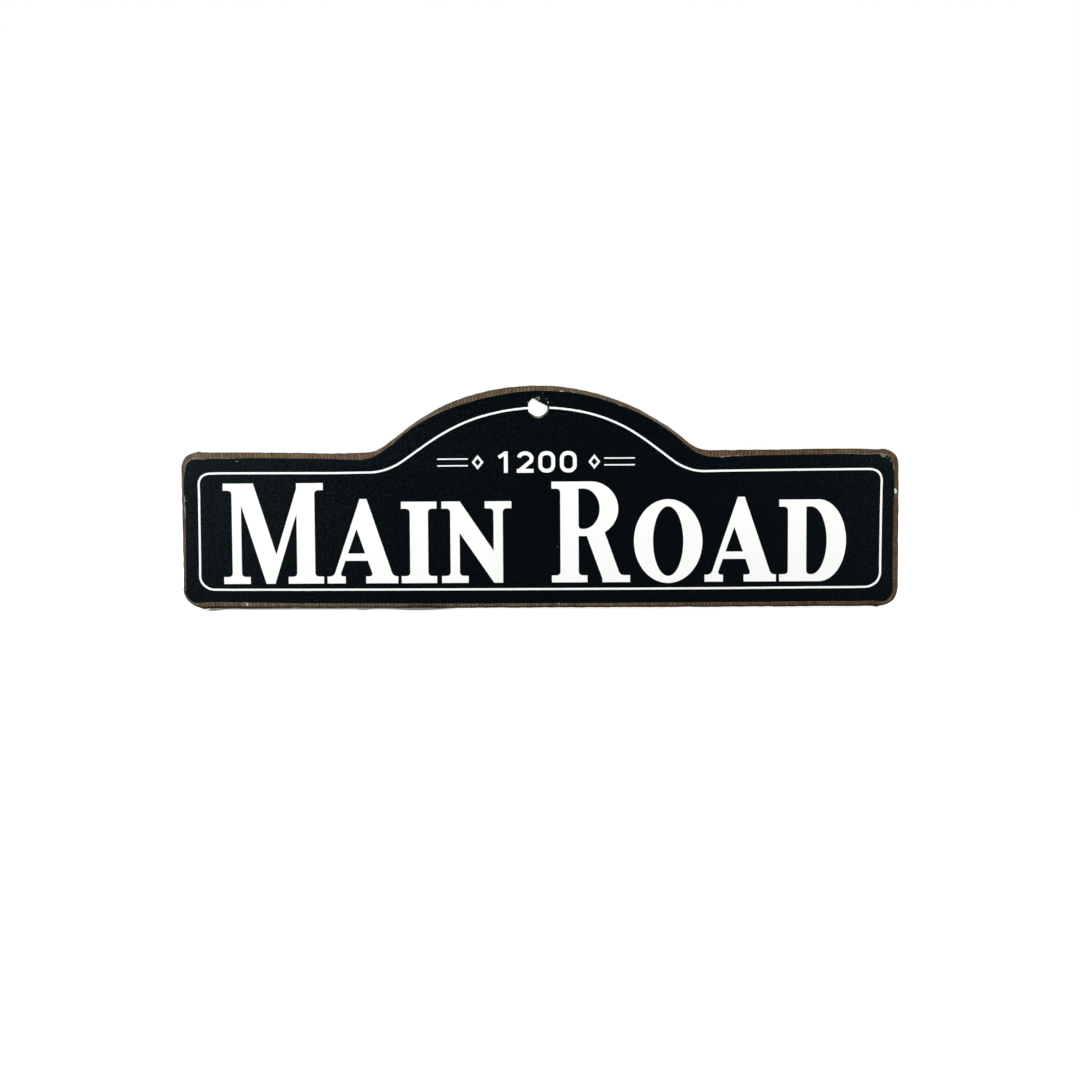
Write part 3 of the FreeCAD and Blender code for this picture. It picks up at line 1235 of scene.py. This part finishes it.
# One letter: filled forms and cuts, in millimetres from its left side and its baseline
class Letter:
    def __init__(self, height, width):
        self.height = height
        self.width = width
        self.forms = []
        self.cuts = []

    def add(self, *points):
        self.forms.append(list(points))

    def bar(self, left, right, low=0.0, high=None):
        high = self.height if high is None else high
        self.add((left, low), (right, low), (right, high), (left, high))

    # A slab at the foot or the top, hollowed into the sides of its stem; leans are the sides' x per z
    def serif(self, left, right, stemLeft, stemRight, top=False, leans=(0.0, 0.0)):
        size = letterPiece["bracket"]
        edge, up = (self.height - slab, -1) if top else (slab, 1)
        self.bar(left, right, *((edge, self.height) if top else (0.0, slab)))
        for end, side, stem, lean in ((left, -1, stemLeft, leans[0]), (right, 1, stemRight, leans[1])):
            if (end - stem) * side > size:
                self.hollow((stem, edge), (side, 0), (lean * up, up), size)

    # The slab at the foot of a leaning stroke, whose two sides each run from the foot to a point above
    def leaningSerif(self, left, right, *sides):
        leans = [(upper[0] - foot[0]) / upper[1] for foot, upper in sides]
        stems = [side[0][0] + lean * slab for side, lean in zip(sides, leans)]
        self.serif(left, right, *stems, leans=leans)

    # The small web in a corner, bounded by a curve that leaves both sides smoothly
    def hollow(self, corner, first, second, size):
        first = np.array(first) / np.hypot(*first)
        second = np.array(second) / np.hypot(*second)
        corner = np.array(corner)
        share = np.linspace(0, 1, 9)[:, None]
        start = corner + first * size
        end = corner + second * size
        curve = start * (1 - share) ** 2 + corner * 2 * share * (1 - share) + end * share**2
        inside = corner - (first + second) * letterPiece["bracketOverlap"]
        self.add(tuple(inside), *[tuple(point) for point in curve])


def roundForm(x, z, halfWidth, halfHeight, start=0, end=360, steps=64):
    turn = np.radians(np.linspace(start, end, steps, endpoint=(end - start) % 360 != 0))
    return [(x + halfWidth * math.cos(t), z + halfHeight * math.sin(t)) for t in turn]


# Where two straight lines cross, each given by two points
def crossing(first, second, third, fourth):
    a = np.array(first, float)
    b = np.array(second, float) - a
    c = np.array(third, float)
    d = np.array(fourth, float) - c
    share = ((c - a)[0] * d[1] - (c - a)[1] * d[0]) / (b[0] * d[1] - b[1] * d[0])
    return tuple(a + b * share)


def letterM(height):
    letter = Letter(height, 28.3)
    rightStem = letter.width - over - thick
    vertexLeft, vertexRight = (12.0, 0), (14.5, 0)
    slopeTop, slopeRight, slopeFoot = (over + 0.7, height), (over + 6.1, height), (17.5, 0)
    riseTop, riseRight, riseFoot = (rightStem + 0.5, height), (rightStem + 2.7, height), (12.3, 0)
    notch = crossing(slopeRight, slopeFoot, riseFoot, riseTop)
    letter.bar(over, over + thin)
    letter.bar(rightStem, rightStem + thick)
    letter.add(slopeTop, slopeRight, notch, vertexRight, vertexLeft)
    letter.add(notch, riseTop, riseRight, vertexRight)
    letter.serif(0, over + thin + over, over, over + thin)
    letter.serif(rightStem - over, letter.width, rightStem, rightStem + thick)
    letter.serif(0, slopeRight[0] - 1, over, letter.width, top=True)
    letter.serif(riseTop[0], letter.width, -letter.width, rightStem + thick, top=True)
    return letter


def letterA(height):
    letter = Letter(height, 20.0)
    peakLeft, peakRight = (9.33, height + 0.85), (11.25, height + 0.85)
    crotch = (8.36, 15.4)
    outerLeft, innerLeft, innerRight, outerRight = (1.15, 0.0), (2.8, 0.0), (13.7, 0.0), (19.25, 0.0)
    letter.add(peakLeft, peakRight, outerRight, innerRight, crotch)
    letter.add(peakLeft, crotch, innerLeft, outerLeft)
    letter.add((4.2, 6.4), (13.5, 6.4), (13.0, 8.45), (5.0, 8.45))
    letter.leaningSerif(0, 5.15, (outerLeft, peakLeft), (innerLeft, crotch))
    letter.leaningSerif(10.95, 20.0, (innerRight, crotch), (outerRight, peakRight))
    return letter


def letterI(height):
    letter = Letter(height, thick + 2 * over)
    letter.bar(over, over + thick)
    letter.serif(0, letter.width, over, over + thick)
    letter.serif(0, letter.width, over, over + thick, top=True)
    return letter


def letterN(height):
    letter = Letter(height, 19.68)
    rightStem = letter.width - over - thin
    letter.bar(over, over + thin)
    letter.bar(rightStem, rightStem + thin)
    slopeRight = [(over + thin + 0.1, height), (rightStem, 9.0), (rightStem + thin, 0)]
    slopeLeft = [(rightStem + 0.1, 0), (over + thin, 14.1), (over, height - 4)]
    letter.add((over, height), *slopeRight, *slopeLeft)
    letter.serif(0, over + thin + over, over, over + thin)
    letter.serif(0, over + thin, over, letter.width, top=True)
    letter.serif(rightStem - over, letter.width, rightStem, rightStem + thin, top=True)
    return letter


# A bowl on the right of a stem, with its counter; low and high are its bottom and top
def addBowl(letter, stemRight, low, high, right, thickness, flat):
    middle = (low + high) / 2
    outerX = stemRight + flat
    outer = roundForm(outerX, middle, right - outerX, (high - low) / 2, -90, 90)
    letter.add((stemRight - 1, low), *outer, (stemRight - 1, high))
    innerX = stemRight + flat * 0.4
    counter = roundForm(innerX, middle, right - thickness - innerX, (high - low) / 2 - slab, -90, 90)
    corner = 0.9
    foot = low + slab
    softCorner = [(stemRight, foot + corner), (stemRight + corner * 0.3, foot + corner * 0.3)]
    letter.cuts.append([(stemRight, high - slab), *softCorner, (stemRight + corner, foot), *counter])


def letterR(height):
    letter = Letter(height, 22.0)
    stemRight = over + thick
    letter.bar(over, stemRight)
    bowlLow = height * 0.46
    addBowl(letter, stemRight, bowlLow, height, right=18.7, thickness=thick + 0.1, flat=3.4)
    hipLeft, hipRight = (stemRight + 1.6, bowlLow + slab), (stemRight + 7.0, bowlLow + slab)
    footLeft, footRight = (14.6, 0.0), (19.9, 0.0)
    letter.add(hipLeft, hipRight, footRight, footLeft)
    letter.serif(0, stemRight + over, over, stemRight)
    letter.serif(0, stemRight, over, letter.width, top=True)
    letter.leaningSerif(14.2, letter.width, (footLeft, hipLeft), (footRight, hipRight))
    return letter


def letterO(height):
    letter = Letter(height, 19.2)
    middle = height / 2
    halfWidth, halfHeight = letter.width / 2, middle + letterPiece["overshoot"]
    letter.forms.append(roundForm(halfWidth, middle, halfWidth, halfHeight, steps=96))
    opening = halfWidth - letterPiece["roundThick"]
    letter.cuts.append(roundForm(halfWidth, middle, opening, halfHeight - slab, steps=80))
    return letter


def letterD(height):
    letter = Letter(height, 18.65)
    stemRight = over + thick
    letter.bar(over, stemRight)
    addBowl(letter, stemRight, 0, height, right=letter.width, thickness=5.4, flat=3.5)
    letter.serif(0, stemRight, over, letter.width)
    letter.serif(0, stemRight, over, letter.width, top=True)
    return letter


# A word from its left side, with the space that follows each letter; gives where the last space ends
def makeWord(name, left, letters):
    x = left
    solids = []
    for letter, space in letters:
        shift = np.array([x, letterPiece["baseline"]])
        solids.append([[np.array(form) + shift for form in group] for group in (letter.forms, letter.cuts)])
        x += letter.width + space
    whitePiece(name, solids)
    print(name, "made, from", round(left, 2), "to", round(x - letters[-1][1], 2))
    return x


capital, small = letterPiece["capital"], letterPiece["small"]
nextLeft = makeWord("nameFirstWord", letterPiece["left"], [
    (letterM(capital), 1.0),
    (letterA(small), 1.0),
    (letterI(small), 1.4),
    (letterN(small), 0.0),
])
makeWord("nameSecondWord", nextLeft + letterPiece["wordGap"], [
    (letterR(capital), 1.1),
    (letterO(small), 0.6),
    (letterA(small), 0.9),
    (letterD(small), 0.0),
])

# Block number and ornament in the crest

crestPiece = {
    "number": "1200",
    "middle": -0.7,
    "low": -18.35,
    "height": 6.0,
    "digitWidth": 4.7,
    "gap": 1.35,
    "stroke": 1.07,
    "lozengeGap": 3.3,
    "lozengeWidth": 3.3,
    "lozengeHalfHeight": 0.62,
    "lozengeOpening": 0.52,
    "ruleGap": 1.1,
    "ruleLength": 8.6,
    "ruleWidth": 0.36,
    "ruleHeights": (-0.95, 0.95),
}


def roundedBox(left, right, low, high, radius, steps=10):
    left, right, low, high = left + radius, right - radius, low + radius, high - radius
    points = []
    for quarter, (x, z) in enumerate([(right, high), (left, high), (left, low), (right, low)]):
        points += roundForm(x, z, radius, radius, 90 * quarter, 90 * quarter + 90, steps)
    return points


# A line of even width along points, with square ends
def strokeForm(points, width):
    route = np.array(points, float)
    along = np.gradient(route, axis=0)
    along /= np.hypot(along[:, 0], along[:, 1])[:, None]
    side = np.stack([-along[:, 1], along[:, 0]], 1) * width / 2
    return [tuple(p) for p in np.concatenate([route + side, (route - side)[::-1]])]


# The forms and the cuts of one digit
def digitForms(digit, left):
    low, height, width = crestPiece["low"], crestPiece["height"], crestPiece["digitWidth"]
    stroke = crestPiece["stroke"]
    high = low + height
    right = left + width
    if digit == "0":
        outer = roundedBox(left, right, low, high, 2.1)
        inner = roundedBox(left + stroke, right - stroke, low + stroke, high - stroke, 1.15)
        return [outer], [inner]
    if digit == "1":
        stem = left + width * 0.52
        flag = [(0.2, 0), (-1.75, -1.3), (-1.15, -2.1), (0.2, -1.15)]
        flag = [(stem + x, high + z) for x, z in flag]
        return [[(stem, low), (stem + stroke, low), (stem + stroke, high), (stem, high)], flag], []
    radius = 1.55
    half = stroke / 2
    middle = (left + right) / 2
    reach = width / 2 - half
    arc = roundForm(middle, high - half - radius, reach, radius, 165, -25, 24)
    last = np.array(arc[-1])
    slope = np.array([left + half * 1.3, low + half]) - last
    route = arc + [tuple(last + slope * step) for step in np.linspace(0, 1, 12)[1:]]
    foot = [(left, low), (right, low), (right, low + stroke), (left, low + stroke)]
    return [strokeForm(route, stroke), foot], []


def makeCrest():
    settings = crestPiece
    step = settings["digitWidth"] + settings["gap"]
    width = step * len(settings["number"]) - settings["gap"]
    left = settings["middle"] - width / 2
    digits = enumerate(settings["number"])
    whitePiece("blockNumber", [digitForms(digit, left + step * place) for place, digit in digits])

    solids = []
    middleZ = settings["low"] + settings["height"] / 2
    halfHeight = settings["lozengeWidth"] * settings["lozengeHalfHeight"]
    opening = settings["lozengeOpening"]
    for side in (-1, 1):
        near = settings["middle"] + side * (width / 2 + settings["lozengeGap"])
        far = near + side * settings["lozengeWidth"]
        centre = (near + far) / 2
        top, bottom = middleZ + halfHeight, middleZ - halfHeight
        lozenge = [(near, middleZ), (centre, top), (far, middleZ), (centre, bottom)]
        hollow = [(centre + (x - centre) * opening, middleZ + (z - middleZ) * opening) for x, z in lozenge]
        solids.append(([lozenge], [hollow]))
        start = far + side * settings["ruleGap"]
        end = start + side * settings["ruleLength"]
        for height in settings["ruleHeights"]:
            low = middleZ + height - settings["ruleWidth"] / 2
            high = low + settings["ruleWidth"]
            solids.append(([[(start, low), (end, low), (end, high), (start, high)]], []))
    whitePiece("crestOrnament", solids)
    print("crest made")


makeCrest()

# Fuzz, burr and flakes left in the hole by the drill

# The burr fills the hole outside a chord; its rows are size and y, and inwards is degrees from -Z
burrPiece = {
    "endAngle": 124,
    "points": 40,
    "sag": 0.12,
    "ragged": 0.1,
    "inwards": 27,
    "frayed": 0.62,
    "rows": [(0.86, -1.3), (0.97, -1.9), (1.0, -2.5), (0.98, -2.9), (0.8, -3.1)],
    "roughness": (0.06, 0.08),
}
# Fuzz that lines the bore: rows of radius and y, the middle of its opening, how far its ring at the bore
# stands past the first and the last row, and from which y on it is pale
lining = {
    "rows": [(3.0, -0.5), (2.78, -1.2), (2.7, -2.0), (2.86, -2.8)],
    "outer": 3.3,
    "middle": (-0.06, 0.2),
    "past": (0.1, 0.15),
    "paleFrom": -2.5,
    "points": 96,
    "roughness": 0.05,
}
# Grey places on the lining, painted highlights where the wall of the bore catches the light, the last of them
# a pale stretch that carries the border line on into the hole: degrees from +X towards +Z, half width in
# degrees and strength
liningGlints = [(272, 26, 0.5), (335, 16, 0.4), (160, 12, 0.35), (183, 8, 1.2)]
# Where its opening is wider: degrees, half width in degrees and by how much
liningBulges = [(202, 15, 0.3), (158, 12, 0.14)]
# Pale flakes that stand in the hole: place, half width, half height, and how pale the middle is
paleFlakes = [
    ((-0.2, 2.3), 0.8, 0.53, 0.0),
    ((2.92, 1.5), 0.32, 0.54, 1.0),
]
# The form of such a flake: its rows are size, y and how pale. Its face, a size and a y, is as pale as its
# middle, and its two ends close to a point at their own y.
flakeForm = {
    "points": 18,
    "roughness": 0.16,
    "rows": [(0.55, -2.75, 0.2), (1.0, -2.95, 0.7), (0.85, -3.1, 1.0)],
    "face": (0.45, -3.14),
    "ends": (-2.72, -3.17),
}


def burrMesh():
    settings = burrPiece
    count = settings["points"]
    share = np.linspace(0, 1, count)
    angle = np.radians(settings["endAngle"] * share)
    rim = np.stack([np.cos(angle), np.sin(angle)], 1) * (holeRadius + 0.12)
    chord = rim[0] + (rim[-1] - rim[0]) * share[:, None]
    ragged = wander(share, seed=61, slowest=2, fastest=18) * settings["ragged"]
    turn = math.radians(settings["inwards"])
    inwards = np.array([-math.sin(turn), -math.cos(turn)])
    chord = chord + inwards * (ragged + settings["sag"])[:, None] * np.sin(math.pi * share)[:, None]
    form = np.concatenate([rim, chord[::-1][1:-1]])
    frayed = np.concatenate([np.zeros(count), np.full(count - 2, settings["frayed"])])
    middle = form.mean(axis=0)
    turns = shares(len(form))
    inPlane, alongY = settings["roughness"]
    shell = Shell("pale")
    rings = []
    for row, (size, y) in enumerate(settings["rows"]):
        shake = wander(turns, seed=70 + row, slowest=3, fastest=26) * inPlane
        flat = middle + (form - middle) * (size + shake)[:, None]
        depth = y + wander(turns, seed=80 + row, slowest=3, fastest=20) * alongY
        rings.append(shell.ring(flat, depth, pale=frayed if row < len(settings["rows"]) - 1 else 0.0))
    shell.walls(rings)
    for ring in (rings[0], rings[-1]):
        points = [(shell.points[i][0], shell.points[i][2]) for i in ring]
        shell.fan(ring, tuple(np.mean(points, axis=0)), shell.points[ring[0]][1])
    return shell.mesh("burr")


def bulgesRound(turns, marks):
    total = np.zeros(len(turns))
    for degrees, halfWidth, strength in marks:
        apart = (turns * 360 - degrees + 180) % 360 - 180
        total += np.exp(-((apart / halfWidth) ** 2)) * strength
    return total


def liningMesh():
    turns = shares(lining["points"])
    shell = Shell("pale")
    outerFlat = holePoints(lining["points"], lining["outer"])
    pastFirst, pastLast = lining["past"]
    rings = [shell.ring(outerFlat, lining["rows"][0][1] + pastFirst)]
    glint = bulgesRound(turns, liningGlints)
    bulge = bulgesRound(turns, liningBulges)
    for row, (radius, y) in enumerate(lining["rows"]):
        ragged = wander(turns, seed=100 + row, slowest=4, fastest=40) * lining["roughness"]
        fuzz = radius + bulge + ragged
        flat = holePoints(lining["points"], 1.0) * fuzz[:, None] + lining["middle"]
        rings.append(shell.ring(flat, y, pale=glint * (y < lining["paleFrom"])))
    rings.append(shell.ring(outerFlat, lining["rows"][-1][1] - pastLast))
    shell.walls(rings + rings[:1])
    return shell.mesh("lining")


def flakeMesh(seed, place, halfWidth, halfHeight, middlePale):
    shell = Shell("pale")
    turns = shares(flakeForm["points"])
    ragged = 1 + wander(turns, seed=90 + seed, slowest=2, fastest=7) * flakeForm["roughness"]
    angle = 2 * math.pi * turns
    form = np.stack([np.cos(angle) * halfWidth, np.sin(angle) * halfHeight], 1) * ragged[:, None]
    rings = []
    for size, y, pale in flakeForm["rows"] + [(*flakeForm["face"], middlePale)]:
        rings.append(shell.ring(np.array(place) + form * size, y, pale=pale))
    shell.walls(rings)
    for ring, y in zip((rings[0], rings[-1]), flakeForm["ends"]):
        shell.fan(ring, place, y, pale=middlePale)
    return shell.mesh("flake")


def makeBurr():
    flakes = [flakeMesh(seed, *flake) for seed, flake in enumerate(paleFlakes)]
    piece = newPiece("holeBurr", joinMeshes("holeBurr", [burrMesh(), liningMesh(), *flakes]), drillFuzz)
    smoothUpTo(piece.data, 40)
    declare(piece, "fibreboard")
    print("burr made:", len(piece.data.polygons), "faces")


makeBurr()

# Loose paper flakes along the edge of the sheet

flakePiece = {
    "amount": 0.3,
    "smallest": 0.05,
    "largest": 0.17,
    "flatness": 0.4,
    "breadth": 0.45,
    "turn": (6.3, 0.6, 6.3),
    "seed": 3,
}


# Small flattened flakes, thrown on the points of a line where its wear value is high
def flakeTree(settings, material):
    inputs = {"Amount": "Float", "Smallest": "Float", "Largest": "Float", "Flatness": "Float", "Seed": "Int"}
    tree, given = newGeometryTree("looseFlakes", inputs)

    # A random value for each point, each kind with a seed of its own
    def dice(kind, step, values):
        seed = given.out("Seed") + step if step else given.out("Seed")
        return tree.add("FunctionNodeRandomValue", {**values, "Seed": seed}, data_type=kind)

    chance = tree.field("wear") * given.out("Amount")
    chosen = tree.add("FunctionNodeCompare", {"A": dice("FLOAT", 0, {}), "B": chance}, operation="LESS_THAN")
    values = {"Mesh": given.out("Geometry"), "Selection": chosen}
    points = tree.add("GeometryNodeMeshToPoints", values, mode="VERTICES")
    ball = tree.add("GeometryNodeMeshIcoSphere", {"Radius": 1.0, "Subdivisions": 1})
    thinness = tree.combine(1.0, given.out("Flatness"), settings["breadth"])
    placed = tree.add("GeometryNodeInstanceOnPoints", {
        "Points": points,
        "Instance": tree.add("GeometryNodeTransform", {"Geometry": ball, "Scale": thinness}),
        "Rotation": dice("FLOAT_VECTOR", 2, {"Min": (0, 0, 0), "Max": settings["turn"]}),
        "Scale": dice("FLOAT", 1, {"Min": given.out("Smallest"), "Max": given.out("Largest")}),
    })
    return endTree(tree, placed, material)


def makeFlakes():
    settings = flakePiece
    count = len(sheetRim)
    middleY = (boardFaceY + sheetFaceY) / 2
    points = [(x, middleY, z) for x, z in sheetRim]
    mesh = plainMesh("paperFlakes", points, [], [(i, (i + 1) % count) for i in range(count)])
    storeValues(mesh, "wear", sheetWear**2)
    piece = newPiece("paperFlakes", mesh, tornPaper)
    applyTree(piece, flakeTree(settings, tornPaper), {
        "Amount": settings["amount"],
        "Smallest": settings["smallest"] * millimetre,
        "Largest": settings["largest"] * millimetre,
        "Flatness": settings["flatness"],
        "Seed": settings["seed"],
    })
    declare(piece, "black_print")
    print("paper flakes made:", len(piece.data.polygons), "faces")


makeFlakes()

# Floor, light and camera

# The floor shows white, as it glows for what the camera, a mirror or glass would see of it. It glows less
# near the sign, behind it, so that the sign's shadow shows there. At its foot, at the left half, a soft
# shadow is painted on it, in a darker colour and with the least glow: a band that reaches less far from the
# foot than the lumps in it.
floorPiece = {
    "half": 2500.0,
    "colour": (0.8, 0.8, 0.79),
    "shadowColour": (0.2, 0.2, 0.18),
    "shadowTint": (0.96, 1.0, 0.88),
    "glow": 0.6,
    "behindGlow": 0.25,
    "behindReach": (0.0, 7.0),
    "besideReach": (72.0, 101.0),
    "farGlow": 1.0,
    "farReach": (110.0, 320.0),
    "shadowGlow": 0.12,
    "bandMiddle": (-60.0, 2.8),
    "bandReach": (38.0, 3.5),
    "bandFade": (0.1, 1.4),
    "backReach": (2.6, 5.2),
    "lumps": [(-92.9, 2.0, 2.6, 6.3, 1.25), (-50.0, 2.0, 2.6, 5.3, 1.3), (-34.0, 2.0, 9.4, 6.7, 1.3)],
}


# 1 for the rays that show a surface: from the camera, from a glossy surface or through glass
def shownRays(tree):
    path = tree.add("ShaderNodeLightPath")
    return path.out("Is Camera Ray") + path.out("Is Glossy Ray") + path.out("Is Transmission Ray")


def makeFloor():
    settings = floorPiece
    material, tree, place = newMaterial("paleFloor")
    sideways, backwards = tree.part(place, "X"), tree.part(place, "Y")
    # The painted shadow at the left half of the foot: a band, and lumps in it
    x = (sideways - settings["bandMiddle"][0]) / settings["bandReach"][0]
    y = (backwards - settings["bandMiddle"][1]) / settings["bandReach"][1]
    band = 1 - (y * y + x * x * x * x).ramp(*settings["bandFade"])
    shade = band + marksMask(tree, tree.combine(sideways, 0, backwards), settings["lumps"])
    shade = shade.smaller(1) * (1 - backwards.ramp(*settings["backReach"]))
    colour = tree.mixColour(shade, settings["colour"], settings["shadowColour"])
    near, far = settings["besideReach"]
    behind = backwards.ramp(*settings["behindReach"]) * (1 - (sideways * sideways).ramp(near**2, far**2))
    nearGlow = behind * (settings["behindGlow"] - settings["glow"]) + settings["glow"]
    away = tree.length(place).ramp(*settings["farReach"])
    plainGlow = away * settings["farGlow"] + (1 - away) * nearGlow
    glow = shade * settings["shadowGlow"] + (1 - shade) * plainGlow
    tint = tree.mixColour(shade, (1, 1, 1), settings["shadowTint"])
    light = tree.add("ShaderNodeEmission", {"Color": tint, "Strength": shownRays(tree) * glow})
    diffuse = tree.add("ShaderNodeBsdfDiffuse", {"Color": colour})
    tree.add("ShaderNodeOutputMaterial", {"Surface": tree.add("ShaderNodeAddShader", {0: diffuse, 1: light})})
    half = settings["half"]
    z = boardLow[2] - nubHeight
    corners = [(-half, -half, z), (half, -half, z), (half, half, z), (-half, half, z)]
    floor = newPiece("floor", plainMesh("floor", corners, [(0, 1, 2, 3)]), material)


# Energy in watts; place and aim in millimetres; white where no colour is given
studioLights = {
    "key": {"place": (-150, -420, 470), "aim": (0, 0, -30), "size": (420, 300), "energy": 2.15},
    "leftSoft": {
        "place": (-420, -420, 60), "aim": (-20, 0, -30), "size": (260, 300), "energy": 0.7,
        "colour": (0.9, 0.97, 1),
    },
    "rightFill": {"place": (480, -420, 40), "aim": (20, 0, -30), "size": (300, 300), "energy": 0.70},
    "backFill": {"place": (120, 520, 330), "aim": (0, 0, -30), "size": (500, 400), "energy": 2.3},
}
worldLevel = {"shown": 1.0, "light": 0.4}


# The matrix of a lamp or camera at a place, looking at its aim
def lookingAt(settings):
    place = Vector(settings["place"])
    turn = (Vector(settings["aim"]) - place).to_track_quat("-Z", "Y").to_matrix().to_4x4()
    return Matrix.Translation(place * millimetre) @ turn


def makeLights():
    for name, settings in studioLights.items():
        light = bpy.data.lights.new(name, "AREA")
        light.shape = "RECTANGLE"
        light.size, light.size_y = [side * millimetre for side in settings["size"]]
        light.energy = settings["energy"]
        light.color = settings.get("colour", (1, 1, 1))
        addToScene(name, light).matrix_world = lookingAt(settings)


def makeWorld():
    world = bpy.data.worlds.new("studio")
    bpy.context.scene.world = world
    world.use_nodes = True
    world.node_tree.nodes.clear()
    tree = Tree(world.node_tree)
    strength = shownRays(tree) * (worldLevel["shown"] - worldLevel["light"]) + worldLevel["light"]
    light = tree.add("ShaderNodeBackground", {"Color": (1, 1, 1), "Strength": strength})
    tree.add("ShaderNodeOutputWorld", {"Surface": light})


cameraSet = {
    "place": (3.44, -263.0, -27.7),
    "aim": (0.31, -3.2, -37.27),
    "roll": -0.338,
    "lens": 30.797,
    "sensor": 36.0,
    "clip": (0.01, 20.0),
}


def makeCamera():
    settings = cameraSet
    data = bpy.data.cameras.new("camera")
    data.lens = settings["lens"]
    data.sensor_width = settings["sensor"]
    data.clip_start, data.clip_end = settings["clip"]
    camera = addToScene("camera", data)
    camera.matrix_world = lookingAt(settings) @ Matrix.Rotation(math.radians(settings["roll"]), 4, "Z")
    bpy.context.scene.camera = camera


makeFloor()
makeLights()
makeWorld()
makeCamera()
bpy.context.scene.view_settings.view_transform = "Standard"
print("studio made")
